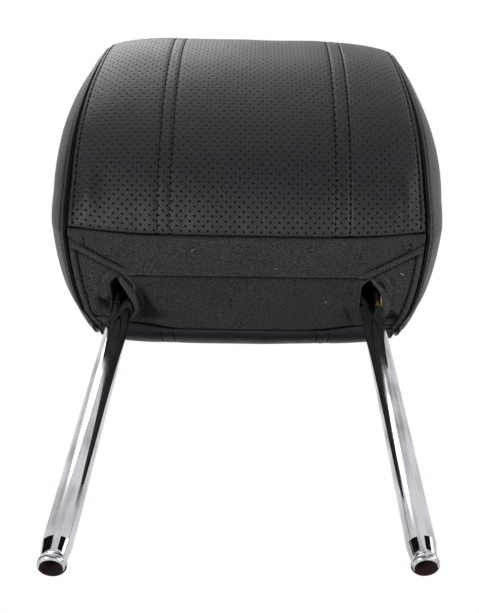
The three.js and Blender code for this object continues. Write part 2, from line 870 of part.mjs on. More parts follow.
addPiece('loop_tape', tapeStrip(flap.thickness + tape.thickness + 2 * clearance), materials.tape);

export default headrest;
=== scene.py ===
"""Car headrest: padded leather head with a suede underside, on chromed posts.

Blender works in metres. The sizes below are in millimetres unless a comment says otherwise.
"""

import math

import bpy
import numpy as np
from mathutils import Matrix, Vector, noise


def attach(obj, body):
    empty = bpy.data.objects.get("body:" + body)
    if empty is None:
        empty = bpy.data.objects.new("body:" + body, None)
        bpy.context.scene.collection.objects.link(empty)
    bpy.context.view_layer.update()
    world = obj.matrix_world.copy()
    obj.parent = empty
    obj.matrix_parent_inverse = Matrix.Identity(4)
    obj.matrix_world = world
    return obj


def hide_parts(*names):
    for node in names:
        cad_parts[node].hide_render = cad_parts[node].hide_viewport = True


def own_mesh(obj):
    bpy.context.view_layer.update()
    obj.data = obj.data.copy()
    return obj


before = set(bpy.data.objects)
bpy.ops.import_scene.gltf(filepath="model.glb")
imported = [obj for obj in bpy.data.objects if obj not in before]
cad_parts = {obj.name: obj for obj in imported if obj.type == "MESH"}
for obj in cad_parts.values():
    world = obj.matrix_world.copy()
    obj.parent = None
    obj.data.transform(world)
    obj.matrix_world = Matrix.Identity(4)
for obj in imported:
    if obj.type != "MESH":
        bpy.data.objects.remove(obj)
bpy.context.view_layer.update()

MM = 0.001

# Shape of the head, as in the solids
POST_X = 82.5
BASE_FRONT, BASE_REAR = -53.5, 18.5
BASE_LENGTH = BASE_REAR - BASE_FRONT
SEAM_HALF = 114.0
WRAP = [
    [(-53.5, 0), (-91.05, 15.17), (-134, 67), (-134, 148)],
    [(-134, 148), (-134, 204), (-102, 203), (-46, 203)],
    [(-46, 203), (-1, 203), (49, 140), (49, 50)],
    [(49, 50), (49, 10), (24.5, 0), (18.5, 0)],
]
MIDDLE = (-38.5, 76.0)
SIDE_BULGE, BULGE_POWER = 23.0, 3.7
SLOT_RADIUS, SLOT_FRONT = 7.8, -14.58
STRAIGHT_HALF = 70

# Stitching
FRONT_ROWS = (-57.0, -49.0, 55.2, 64.7)
REAR_ROWS = (-58.7, -50.6, 47.6, 55.8)
STITCH_PITCH, STITCH_LENGTH, THREAD_RADIUS = 4.0, 3.0, 0.33
EDGE_STITCH = 3.2
SIDE_STITCH_SHARE = 0.96

# How far a cloth run may push the leather out between its seams
WRAP_PUFF, SIDE_PUFF = 2.2, 2.0


def smooth(t):
    """A smooth step from 0 to 1."""
    t = np.clip(t, 0, 1)
    return t * t * (3 - 2 * t)


def bell(off, width):
    """A smooth bump of height 1 where off is 0."""
    return np.exp(-((off / width) ** 2))


def bezier(points, count):
    """Points along one cubic curve."""
    a, b, c, d = (np.array(p, float) for p in points)
    t = np.linspace(0, 1, count)[:, None]
    return (1 - t) ** 3 * a + 3 * (1 - t) ** 2 * t * b + 3 * (1 - t) * t * t * c + t**3 * d


def distances(line):
    """How far along a line each of its points lies."""
    return np.concatenate([[0], np.cumsum(np.linalg.norm(np.diff(line, axis=0), axis=1))])


def full_turn(count):
    """Evenly spaced angles round a ring."""
    return np.linspace(0, 2 * math.pi, count, endpoint=False)


wrap_line = np.concatenate([bezier(p, 500)[:-1] for p in WRAP] + [[WRAP[-1][-1]]])
wrap_at = distances(wrap_line)
wrap_run = np.gradient(wrap_line, wrap_at, axis=0)
wrap_run /= np.linalg.norm(wrap_run, axis=1)[:, None]
WRAP_LENGTH = wrap_at[-1]
# The front and rear leather meet behind the top
top_seam_at = wrap_at[np.flatnonzero((wrap_line[:, 0] >= 6) & (wrap_line[:, 1] > 50))[0]]


def outline(at):
    """y, z and the inward direction at a distance along the side outline.

    It runs from the front of the underside over the top and back along the underside.
    """
    at = np.asarray(at, float)
    on_wrap = np.minimum(at, WRAP_LENGTH)
    y, z = (np.interp(on_wrap, wrap_at, wrap_line[:, k]) for k in (0, 1))
    run_y, run_z = (np.interp(on_wrap, wrap_at, wrap_run[:, k]) for k in (0, 1))
    base = at > WRAP_LENGTH
    y = np.where(base, BASE_REAR - (at - WRAP_LENGTH), y)
    z = np.where(base, 0, z)
    return y, z, np.where(base, 0, run_z), np.where(base, 1, -run_y)


def seam_half(y, z):
    """Half the distance between the side seams, as in the solids.

    The underside keeps its width further back than the rest.
    """
    rear_narrowing, top_narrowing, low_end, top_from = 10.9, 8.2, 60, 154
    back = np.clip((y - BASE_FRONT) / BASE_LENGTH, 0, 1)
    low = 1 - smooth(z / low_end)
    rear = rear_narrowing * (back**3 * low + smooth(back) * (1 - low))
    return SEAM_HALF - rear - top_narrowing * smooth(z / top_from)


def groove(z):
    """Half the width of the gap at a side seam, which opens towards the underside."""
    narrow, opening, reach = 0.35, 0.95, 75
    return narrow + opening * bell(z, reach)


def front_edge(x):
    """How far the suede comes up the front, past the fold, towards the corners."""
    at_corner, corner_x = 4.5, 113
    return at_corner * (np.abs(x) / corner_x) ** 4


def rear_edge(x):
    """How far the rear leather comes forward under the head beside the posts."""
    most, most_at, reach = 4.5, 80, 20
    return most * bell(np.abs(x) - most_at, reach)


def roll(z, share):
    """How far the outline rolls inward towards the side seams."""
    at_seam, full_from = 6.5, 20
    return at_seam * smooth(z / full_from) * np.abs(share) ** 6


def corner_rise(y, z, share):
    """How far the rear corners of the underside are drawn up, which rounds them."""
    most, start_y, reach_y, reach_z = 4.5, 3, 14, 34
    fade = smooth((y - start_y) / reach_y) * (1 - smooth(z / reach_z))
    return most * fade * np.abs(share) ** 7


def wrap_point(at, x_ref, depth):
    """Points of the leather that wraps the head.

    Its columns are straight near the middle, and further out they spread with the seam.
    """
    y, z, in_y, in_z = outline(at)
    half = seam_half(y, z)
    share = (np.abs(x_ref) - STRAIGHT_HALF) / (SEAM_HALF - STRAIGHT_HALF)
    spread = STRAIGHT_HALF + share * (half - groove(z) - STRAIGHT_HALF)
    x = np.sign(x_ref) * np.where(np.abs(x_ref) <= STRAIGHT_HALF, np.abs(x_ref), spread)
    sunk = roll(z, x / half) + depth
    rise = corner_rise(y, z, x / half)
    return np.stack([x, y + in_y * sunk, z + in_z * sunk + rise], axis=-1)


def side_point(at, share, side, depth):
    """Points of a side panel, from its middle at share 0 to the seam at share 1.

    Depth goes inward from the outline.
    """
    y, z, in_y, in_z = outline(at)
    sunk = roll(z, 1) + depth
    edge_y, edge_z = y + in_y * sunk, z + in_z * sunk
    flat_half = seam_half(*MIDDLE) * (1 - share**2) + seam_half(y, z) * share**2
    flat_half = flat_half + groove(z) * share**12
    x = flat_half + SIDE_BULGE * (1 - share**BULGE_POWER)
    py = MIDDLE[0] + (edge_y - MIDDLE[0]) * share
    pz = MIDDLE[1] + (edge_z + corner_rise(y, z, 1) - MIDDLE[1]) * share
    return np.stack([side * x, py, pz], axis=-1)


def spline(at, values, to):
    """Smooth values along the first axis."""
    slope = np.gradient(values, at, axis=0)
    i = np.clip(np.searchsorted(at, to) - 1, 0, len(at) - 2)
    shape = (-1,) + (1,) * (values.ndim - 1)
    h = (at[i + 1] - at[i]).reshape(shape)
    t = ((to - at[i]) / (at[i + 1] - at[i])).reshape(shape)
    return (
        values[i] * (1 + 2 * t) * (1 - t) ** 2
        + slope[i] * h * t * (1 - t) ** 2
        + values[i + 1] * t * t * (3 - 2 * t)
        + slope[i + 1] * h * t * t * (t - 1)
    )


def spread_grid(grid, rows_at, cols_at, rows_to, cols_to):
    """A coarse grid of values, read off smoothly at the rows and columns of a finer one."""
    part = spline(rows_at, grid, rows_to)
    return np.swapaxes(spline(cols_at, np.swapaxes(part, 0, 1), cols_to), 0, 1)


def normals(points, closed=False):
    """Outward directions of a grid whose rows and columns turn like the front panel's."""
    along_row = np.gradient(points, axis=1)
    if closed:
        along_row[:, 0] = (points[:, 1] - points[:, -1]) / 2
        along_row[:, -1] = (points[:, 0] - points[:, -2]) / 2
    n = np.cross(along_row, np.gradient(points, axis=0))
    return n / np.maximum(np.linalg.norm(n, axis=2, keepdims=True), 1e-9)


def ripple(points, size, height, seed=0.0):
    """Smooth random heights at points, one wave being about size long."""
    flat = points.reshape(-1, points.shape[-1]) / size
    wave = [noise.noise(Vector((p[0] + seed, p[1] - seed, p[-1]))) for p in flat]
    return height * np.array(wave).reshape(points.shape[:-1])


def mesh_object(name, points, faces, is_smooth=True):
    """A new object in the scene, from points in mm."""
    mesh = bpy.data.meshes.new(name)
    mesh.from_pydata((np.asarray(points, float) * MM).tolist(), [], faces)
    mesh.polygons.foreach_set("use_smooth", [is_smooth] * len(mesh.polygons))
    obj = bpy.data.objects.new(name, mesh)
    bpy.context.scene.collection.objects.link(obj)
    return obj


def grid_object(name, points, flat=None, closed=False, flip=False, cap=False, drop=None, fold=None):
    """A smooth mesh from a grid of points in mm.

    flat is each point's place on the cut leather or cloth, in mm, drop the faces left out,
    and fold how much the colour is painted paler (1), as wear and painted highlight, or darker
    (-1), as painted shade in creases, at each point.
    """
    rows, cols = points.shape[:2]
    index = np.arange(rows * cols).reshape(rows, cols)
    if closed:
        index = np.concatenate([index, index[:, :1]], axis=1)
    corners = [index[:-1, :-1], index[:-1, 1:], index[1:, 1:], index[1:, :-1]]
    quads = np.stack(corners, axis=-1)
    if drop is not None:
        quads = quads[~drop]
    faces = quads.reshape(-1, 4).tolist()
    verts = points.reshape(-1, 3)
    uv = None if flat is None else flat.reshape(-1, 2)
    if cap:
        hub = len(verts)
        verts = np.concatenate([verts, points[0].mean(axis=0)[None]])
        uv = np.concatenate([uv, flat[0].mean(axis=0)[None]])
        faces += [[hub, index[0, c + 1], index[0, c]] for c in range(index.shape[1] - 1)]
    if flip:
        faces = [f[::-1] for f in faces]
    obj = mesh_object(name, verts, faces)
    mesh = obj.data
    if uv is not None:
        layer = mesh.uv_layers.new(name="cut_mm")
        at = np.empty(len(mesh.loops), int)
        mesh.loops.foreach_get("vertex_index", at)
        layer.data.foreach_set("uv", uv[at].ravel())
    if fold is not None:
        # Painted light and shade with some wear: paler on folds, darker in creases and recesses
        wear_and_painted_light = mesh.attributes.new("fold", "FLOAT", "POINT")
        wear_and_painted_light.data.foreach_set("value", fold.ravel().astype(np.float32))
    return obj


def tube_faces(first, rings, sides):
    """Faces between rings of points that are numbered on from first."""
    faces = []
    for start in range(first, first + (rings - 1) * sides, sides):
        for j in range(sides):
            a, b = start + j, start + (j + 1) % sides
            faces.append((a, b, b + sides, a + sides))
    return faces


def puffed(points, pinned, limit, closed=False, flip=False):
    """How far a pressed-out grid of leather moves between its pinned stitches, in mm."""
    last_frame = 20
    obj = grid_object("puff", points, points[..., :2], closed, flip, cap=closed)
    count = points.shape[0] * points.shape[1]
    held = obj.vertex_groups.new(name="held")
    held.add(np.flatnonzero(pinned.ravel()).tolist(), 1.0, "REPLACE")
    cloth = obj.modifiers.new("cloth", "CLOTH")
    s = cloth.settings
    s.quality = 6
    s.mass = 0.35
    s.tension_stiffness = s.compression_stiffness = 40
    s.shear_stiffness = 20
    s.bending_stiffness = 6
    s.use_pressure = True
    s.uniform_pressure_force = 4
    s.vertex_group_mass = "held"
    s.effector_weights.gravity = 0
    cloth.point_cache.frame_start, cloth.point_cache.frame_end = 1, last_frame
    scene = bpy.context.scene
    for f in range(1, last_frame + 1):
        scene.frame_set(f)
    evaluated = obj.evaluated_get(bpy.context.evaluated_depsgraph_get())
    after = np.empty(len(evaluated.data.vertices) * 3)
    evaluated.data.vertices.foreach_get("co", after)
    moved = after.reshape(-1, 3)[:count] / MM - points.reshape(-1, 3)
    bpy.data.objects.remove(obj)
    scene.frame_set(1)
    far = np.linalg.norm(moved, axis=1, keepdims=True)
    moved *= np.tanh(far / limit) * limit / np.maximum(far, 1e-6)
    return moved.reshape(points.shape)


def merged(values, gap):
    """Sorted values with those closer than gap to the one before left out."""
    kept = []
    for v in np.sort(values):
        if not kept or v - kept[-1] > gap:
            kept.append(v)
    return np.array(kept)


# Leather panels. How their edge turns in at a side seam: distance from the seam, depth
SEAM_TURN = np.array([
    (7.0, 0.0), (5.2, 0.05), (4.2, 0.35), (EDGE_STITCH, 0.95), (2.3, 0.2),
    (1.4, 0.2), (0.7, 0.65), (0.3, 1.6), (0.3, 3.8), (-2.0, 4.4),
])
# How it turns in at a panel's two ends: distance from the end, depth
END_TURN = np.array([(3.4, 0.0), (2.0, 0.12), (1.0, 0.45), (0.4, 1.1), (0.2, 2.2), (-0.5, 4.2)])
# How a side panel's edge turns in: share of the way to the seam, depth
SIDE_TURN = np.array([
    (0.915, 0), (0.93, 0), (0.942, 0.12), (0.952, 0.45), (SIDE_STITCH_SHARE, 0.85), (0.967, 0.3),
    (0.975, 0.1), (0.983, 0.15), (0.991, 0.55), (1, 1.5), (1, 3.8), (1.012, 4.4),
])


def channel(x, rows):
    """Depth of the stitch channels at a distance x across the head."""
    narrow, wide = (0.52, 0.9), (0.22, 2.6)
    depth = np.zeros_like(x)
    for row in rows:
        depth += narrow[0] * bell(x - row, narrow[1]) + wide[0] * bell(x - row, wide[1])
    return depth


def panel_columns(rows):
    """Where the columns of a wrapped panel lie, closer together at its stitch rows."""
    outermost, step, least_gap = 106, 2.0, 0.75
    even = np.arange(-outermost, outermost + 0.1, step)
    close = np.concatenate([np.array(rows) + d for d in (-2.4, -1.4, -0.7, 0, 0.7, 1.4, 2.4)])
    even = even[np.min(np.abs(even[:, None] - close[None]), axis=1) > least_gap]
    return np.sort(np.concatenate([even, close]))


def wrap_puff(start, end, rows, along, across):
    """How far the leather of a wrapped panel swells between its stitch rows and its edges."""
    cell, least_gap = 5, 1.5
    evenly = np.linspace(-SEAM_HALF, SEAM_HALF, 49)
    coarse_x = merged(np.concatenate([evenly, rows]), least_gap)
    coarse_at = np.linspace(start, end, int((end - start) / cell) + 1)
    at, x = np.meshgrid(coarse_at, coarse_x, indexing="ij")
    pinned = np.zeros(at.shape, bool)
    pinned[[0, -1]] = True
    pinned[:, [0, -1]] = True
    for row in rows:
        pinned[:, np.argmin(np.abs(coarse_x - row))] = True
    moved = puffed(wrap_point(at, x, 0.0), pinned, WRAP_PUFF)
    return spread_grid(moved, coarse_at, coarse_x, along, across)


def wrap_panel(name, start, end, rows, low_edge):
    """A leather panel that wraps the head from one distance along the outline to another.

    rows are its stitch rows, and low_edge is the end that is sewn to the suede.
    """
    edge_reach, end_margin, row_step = 45, 5, 2.0
    is_front = start == 0
    inner = panel_columns(rows)
    across = np.concatenate([SEAM_TURN[::-1, 0] - SEAM_HALF, inner, SEAM_HALF - SEAM_TURN[:, 0]])
    turned = np.concatenate([SEAM_TURN[::-1, 1], np.zeros(len(inner)), SEAM_TURN[:, 1]])
    body = np.arange(start + end_margin, end - end_margin, row_step)
    along = np.concatenate([start + END_TURN[::-1, 0], body, end - END_TURN[:, 0]])
    ends = np.concatenate([END_TURN[::-1, 1], np.zeros(len(body)), END_TURN[:, 1]])
    grid_at, grid_x = np.meshgrid(along, across, indexing="ij")
    if is_front:
        placed = grid_at + front_edge(grid_x) * (1 - smooth(grid_at / edge_reach))
    else:
        placed = grid_at + rear_edge(grid_x) * smooth((grid_at - end + edge_reach) / edge_reach)
    points = wrap_point(placed, grid_x, np.maximum(ends[:, None], turned[None, :]))
    points = points + wrap_puff(start, end, rows, along, across)
    out = normals(points)
    sink = channel(points[..., 0], rows)
    # Gathers where the leather is sewn to the suede
    gather_width, gather_length = 9, 60
    across_at = np.stack([points[..., 0] / gather_width, grid_at / gather_length], axis=-1)
    gather = ripple(across_at, size=1, height=0.9, seed=3.1) * bell(grid_at - low_edge, 16)
    soft = ripple(points, size=46, height=0.9, seed=11.0)
    # The leather swells beside the seams at the lower corners of the front
    inside = SEAM_HALF - np.abs(grid_x)
    swell_height, swell_inside, swell_up = 2.6, 12.5, 27
    swell = swell_height * bell(inside - swell_inside, 6) * bell(grid_at - swell_up, 18) * is_front
    # All of it fades towards the panel's edges
    side_fade, start_fade, end_fade = 12, 3, 8
    fade = np.clip(inside / side_fade, 0, 1) * np.clip((grid_at - start) / start_fade, 0, 1)
    fade = fade * np.clip((end - grid_at) / end_fade, 0, 1)
    points = points + out * ((gather + soft + swell) * fade - sink)[..., None]
    flat = np.stack([points[..., 0], grid_at], axis=-1)
    return grid_object(name, points, flat), points, across


def side_panel(name, side):
    """A domed side panel; side is -1 for the left and 1 for the right."""
    round_length = WRAP_LENGTH + BASE_LENGTH
    over_top = np.linspace(0, WRAP_LENGTH, 230)[:-1]
    around = np.concatenate([over_top, np.linspace(WRAP_LENGTH, round_length, 40)[:-1]])
    innermost = 0.03
    dome = np.linspace(innermost, 0.9, 36)
    shares = np.concatenate([dome, SIDE_TURN[:, 0]])
    sinks = np.concatenate([np.zeros(len(dome)), SIDE_TURN[:, 1]])
    grid_share, grid_at = np.meshgrid(shares, around, indexing="ij")
    points = side_point(grid_at, grid_share, side, 0.0)

    # The dome swells within its seam
    coarse_shares = np.linspace(innermost, 1, 20)
    coarse_around = np.linspace(0, round_length, 121)[:-1]
    share2, at2 = np.meshgrid(coarse_shares, coarse_around, indexing="ij")
    pinned = np.zeros(at2.shape, bool)
    pinned[-1] = True
    start = side_point(at2, share2, side, 0.0)
    moved = puffed(start, pinned, SIDE_PUFF, closed=True, flip=side < 0)
    moved = np.concatenate([moved, moved[:, :1]], axis=1)
    ends_at = np.append(coarse_around, round_length)
    points = points + spread_grid(moved, coarse_shares, ends_at, shares, around)

    # It is a little uneven, less so towards the seam
    seam_fade = 0.12
    out = normals(points, closed=True) * side
    soft = ripple(points, size=40, height=1.1, seed=5.0 * side)
    soft = soft * np.clip((1 - grid_share) / seam_fade, 0, 1)
    # The edge sinks along the normal at first, and towards the middle of the head at the seam
    _, _, in_y, in_z = outline(grid_at)
    inward = np.stack([np.full_like(in_y, 0), in_y, in_z], axis=-1)
    turn_from = 0.97
    turn = np.clip((grid_share - turn_from) / (1 - turn_from), 0, 1)[..., None]
    direction = out * (turn - 1) + inward * turn
    points = points + out * soft[..., None] + direction * sinks[:, None, None]
    flat = points[..., 1:].copy()
    obj = grid_object(name, points, flat, closed=True, flip=side < 0, cap=True)
    return obj, points, shares


# Stitches: share of the length, height over the leather, and share of the full radius
STITCH_BOW = [
    (0, -0.35, 0.35),
    (0.12, 0.1, 0.9),
    (0.5, 0.32, 1.0),
    (0.88, 0.1, 0.9),
    (1, -0.35, 0.35),
]


def threads(name, paths):
    """Stitches as short bowed pieces of thread.

    Each path is (points, outward directions) along one row, in mm.
    """
    sides, first_gap, sits = 6, 1.0, THREAD_RADIUS * 0.4
    turns = full_turn(sides)
    shares, rises, widths = np.array(STITCH_BOW).T
    verts, faces = [], []
    for line, out in paths:
        at = distances(line)
        for start in np.arange(first_gap, at[-1] - STITCH_LENGTH, STITCH_PITCH):
            where = start + shares * STITCH_LENGTH
            centre = np.stack([np.interp(where, at, line[:, k]) for k in range(3)], axis=1)
            up = np.stack([np.interp(where, at, out[:, k]) for k in range(3)], axis=1)
            run = centre[-1] - centre[0]
            run /= np.linalg.norm(run)
            faces += tube_faces(len(verts), len(shares), sides)
            for c, u, s, rise, width in zip(centre, up, np.cross(run, up), rises, widths):
                spot = c + u * (rise + sits)
                reach = THREAD_RADIUS * width
                verts += [spot + (u * math.sin(t) + s * math.cos(t)) * reach for t in turns]
    return mesh_object(name, verts, faces)


def column_paths(points, across, refs):
    """The columns of a wrapped panel that lie at refs, as paths for threads.

    They stop where the leather turns in at the panel's ends.
    """
    out = normals(points)
    flat = slice(4, -4)
    picks = [np.argmin(np.abs(across - ref)) for ref in refs]
    return [(points[flat, c], out[flat, c]) for c in picks]


# Leather and its seams
front, front_points, front_x = wrap_panel("front_leather", 0, top_seam_at, FRONT_ROWS, 0.0)
rear, rear_points, rear_x = wrap_panel(
    "rear_leather", top_seam_at, WRAP_LENGTH, REAR_ROWS, WRAP_LENGTH
)
sides = {}
seam_rows = (-SEAM_HALF + EDGE_STITCH, SEAM_HALF - EDGE_STITCH)
thread_paths = column_paths(front_points, front_x, FRONT_ROWS + seam_rows)
thread_paths += column_paths(rear_points, rear_x, REAR_ROWS + seam_rows)
for tag, side in (("left", -1), ("right", 1)):
    sides[tag], points, shares = side_panel(f"side_leather_{tag}", side)
    ring = np.argmin(np.abs(shares - SIDE_STITCH_SHARE))
    thread_paths.append((points[ring], normals(points, closed=True)[ring] * side))
stitching = threads("seam_stitching", thread_paths)

# Suede underside: the front flap's hem is straight in the middle and slants to the corners
HEM_Y, HEM_HALF = -24.0, 79.5
CORNER_Y, CORNER_X = -45.0, 113.3
BAND = 5.0
SEAM_STITCH = 4.2
REAR_START = -50.0
slope = np.array([CORNER_X - HEM_HALF, CORNER_Y - HEM_Y])
slope /= np.linalg.norm(slope)

# Folds and dents of the rear flap: height inward, x, y, half width, half length, turn
DENTS = [
    (3.0, -67.8, -3, 3.2, 9, -0.3),
    (5.0, -94.0, -1.2, 5.0, 2.3, 0.65),
    (-3.2, -101.0, 1.5, 5.0, 5.5, 0.0),
    (4.0, -98.5, 8.6, 6.5, 0.9, 0.2),
    (-1.6, -98, 11.6, 8, 1.2, 0.1),
    (5.0, 96.8, 6.2, 5.5, 2.6, 0.6),
    (-1.6, 100, 11.2, 6, 2.4, 0.2),
    (1.2, 97.5, 14.6, 9, 0.8, -0.05),
    (1.3, 68.0, 6.0, 7.5, 1.0, 1.14),
    (-0.9, 65.2, 6.0, 8, 2.2, 1.14),
    (0.8, -94.8, -14.5, 0.8, 6, 0.0),
]
# Where the nap is painted paler (above 0), as wear and painted highlight on its folds, or darker
# (below 0), as painted shade in its creases, dimples and beside the left band, in the same way
PAINTED_SHADE_AND_WEAR = [
    (-1.3, -69.0, -5, 2.6, 8, -0.35),
    (-1.0, -66, 5, 5.5, 5, 0.0),
    (-0.35, -60, 7, 10, 4, 0.0),
    (-1.5, -93.6, -0.9, 4.8, 2.1, 0.65),
    (-0.6, -96.5, -4.0, 5.0, 2.5, 0.9),
    (0.6, -98.5, 6.4, 7, 1.1, 0.05),
    (-1.6, -98.5, 8.6, 6.5, 0.8, 0.2),
    (1.0, -98, 11.2, 8, 0.9, 0.1),
    (-1.6, 96.6, 6.2, 5.5, 2.6, 0.6),
    (0.8, 98.5, 13.2, 10, 0.8, -0.05),
    (-0.8, 97.5, 14.8, 9, 0.8, -0.05),
    (-0.7, 68.3, 6.0, 7.5, 0.8, 1.14),
    (-0.6, -94.8, -14.5, 0.7, 6, 0.0),
]


def beyond_hem(x, y):
    """Distance behind the front flap's hem; negative where the flap covers."""
    slanted = -(np.abs(x) - HEM_HALF) * slope[1] + (y - HEM_Y) * slope[0]
    return np.where(np.abs(x) < HEM_HALF, y - HEM_Y, slanted)


def under_place(x, y, lift):
    """Points of the underside; in front of the fold they follow the outline upward."""
    past = np.maximum(BASE_FRONT - y, 0)
    oy, oz, in_y, in_z = outline(past)
    ahead = past > 0
    rise = corner_rise(y, 0.0, x / seam_half(y, 0.0))
    at_y = np.where(ahead, oy + in_y * lift, y)
    return np.stack([x, at_y, np.where(ahead, oz + in_z * lift, lift) + rise], axis=-1)


def slot_distance(x, y):
    """Distance from the middle line of the nearer post slot."""
    along = np.clip(y, SLOT_FRONT, 0)
    return np.minimum(np.hypot(x - POST_X, y - along), np.hypot(x + POST_X, y - along))


def humps(x, y, table):
    """The sum of the smooth mounds in a table of folds."""
    total = 0
    for height, x0, y0, wide, long, turn in table:
        c, s = math.cos(turn), math.sin(turn)
        u, v = (x - x0) * c + (y - y0) * s, -(x - x0) * s + (y - y0) * c
        total = total + height * bell(u, wide) * bell(v, long)
    return total


def beside_slot(x, y):
    """Distance outside a slot's edge, and 1 on the side away from the head's middle."""
    return slot_distance(x, y) - SLOT_RADIUS, smooth((np.abs(x) - POST_X + 2) / 8)


def rear_lift(x, y):
    """How far the rear suede lies inside the plane of the underside."""
    seam_off = seam_half(y, 0.0) - groove(0.0) - np.abs(x)
    ring, outer = beside_slot(x, y)
    # It rises under the front flap, and comes down to the seams
    lift = 0.9 + 3.2 * smooth((4.5 - beyond_hem(x, y)) / 6.5)
    lift = lift * smooth(seam_off / 9) + 0.1
    # The turned strip along the seams and its stitches
    lift -= 0.75 * bell(seam_off - 2.0, 1.5)
    lift += 1.0 * bell(seam_off - SEAM_STITCH, 0.75)
    # The ridge round the slots
    lift -= 0.8 * bell(ring - 4.6, 1.6) * smooth((y + 26) / 6) * outer
    lift += 0.6 * bell(ring - 6.6, 0.9) * outer
    return lift + humps(x, y, DENTS)


def rear_wear_and_painted_light(x, y):
    """How much paler or darker the rear suede is painted: paler on its folds, as wear and painted
    highlight, and darker as painted shade in its creases, stitch rows and behind the front flap's
    hem.
    """
    seam_off = seam_half(y, 0.0) - groove(0.0) - np.abs(x)
    ring, outer = beside_slot(x, y)
    # Darker across the middle, paler towards the sides
    tone = 0.36 * smooth((np.abs(x) - 82) / 12) - 0.24
    # Paler on the turned strip along the seams as wear and painted highlight, painted shade in the
    # stitch row
    tone += 0.45 * bell(seam_off - 1.6, 1.4) - 0.9 * bell(seam_off - SEAM_STITCH, 0.8)
    # Painted shade where the suede lies deep behind the front flap's hem
    tone -= 0.8 * smooth((3.0 - beyond_hem(x, y)) / 2.6)
    # Painted highlight on the ridge round the slots, painted shade in the dip beyond it
    tone += (0.3 * bell(ring - 4.8, 1.2) - 0.5 * bell(ring - 6.6, 0.8)) * outer
    return np.clip(tone + humps(x, y, PAINTED_SHADE_AND_WEAR), -1, 1)


def edge_paths(points, rows, stitch):
    """The two stitch rows along the side edges of a suede piece, as paths for threads."""
    down = np.zeros_like(points) + np.array([0, 0, -1.0])
    return [(points[rows, column], down[rows, 0]) for column in (stitch, -1 - stitch)]


def rear_suede():
    """The rear flap with its seams, folds and the openings of its slots, and its stitch rows."""
    # Rows of points, and how the cloth turns in past the last row and past the side columns
    count, ends = 62, [0.3, 1.3, 4]
    shares = np.concatenate([np.linspace(0, 1, count), [1, 1, 1]])
    rise = np.concatenate([np.zeros(count), ends])
    close = [0.5, 1.0, 1.6, 2.2, 2.8, 3.3, 3.7, SEAM_STITCH, 4.7, 5.2, 6.0, 7.0, 8.2, 9.5, 11]
    offs = np.array([0, 0, 0] + close)
    fold = np.array(ends[::-1] + [0.0] * len(close))
    inner = np.linspace(-1, 1, 172)
    edge_half, inner_from = 112, 12.2
    turned = np.concatenate([fold, np.zeros(len(inner)), fold[::-1]])
    col_x = np.concatenate(
        [offs - edge_half, inner * (edge_half - inner_from), edge_half - offs[::-1]]
    )
    back = BASE_REAR - rear_edge(col_x) - 0.5
    y = REAR_START + (back - REAR_START)[None, :] * shares[:, None]
    half = seam_half(y, 0.0) - groove(0.0)
    n = len(offs)
    across = [
        offs - half[:, :n],
        inner * (half[:, n : n + len(inner)] - inner_from),
        half[:, -n:] - offs[::-1],
    ]
    x = np.concatenate(across, axis=1)
    spots = np.stack([x, y, 0 * x], axis=-1)
    near = slot_distance(x, y) - SLOT_RADIUS
    # The cloth puckers round the slots
    slot_middle, puckers = -7, 8
    angle = np.arctan2(y - slot_middle, np.abs(x) - POST_X)
    pucker = 0.5 * bell(near - 7, 6) * np.sin(puckers * angle + 1.3 * np.sign(x))
    soft = ripple(spots, size=26, height=0.8, seed=2.0)
    soft = soft + ripple(spots, size=9, height=0.35, seed=8.0)
    lift = rear_lift(x, y) + np.maximum(rise[:, None], turned[None, :])
    points = under_place(x, y, lift + (pucker + soft) * smooth((half - np.abs(x)) / 10))
    centre = (points[:-1, :-1] + points[1:, 1:]) / 2
    lip_room = 1.0
    drop = slot_distance(centre[..., 0], centre[..., 1]) < SLOT_RADIUS + lip_room
    flat = points[..., :2].copy()
    tone = rear_wear_and_painted_light(x, y)
    obj = grid_object("suede_rear_panel", points, flat, flip=True, drop=drop, fold=tone)
    return obj, edge_paths(points, slice(5, count), offs.tolist().index(SEAM_STITCH))


# The front flap's turned side bands and its hem: distance from the edge, depth
FLAP_BAND = [
    (0.5, 3.0), (0.1, 2.0), (0.0, 1.1), (0.25, 0.3), (0.9, -0.45), (1.8, -0.9), (2.8, -1.0),
    (3.8, -0.7), (4.5, 0.0), (BAND, 0.6), (5.5, 0.2), (6.3, 0.0), (8.0, 0.0),
]
FLAP_HEM = [
    (0.5, 3.2), (0.1, 2.2), (0.0, 1.2), (0.3, 0.3),
    (1.0, -0.35), (2.0, -0.45), (3.2, -0.2), (4.6, 0.0),
]


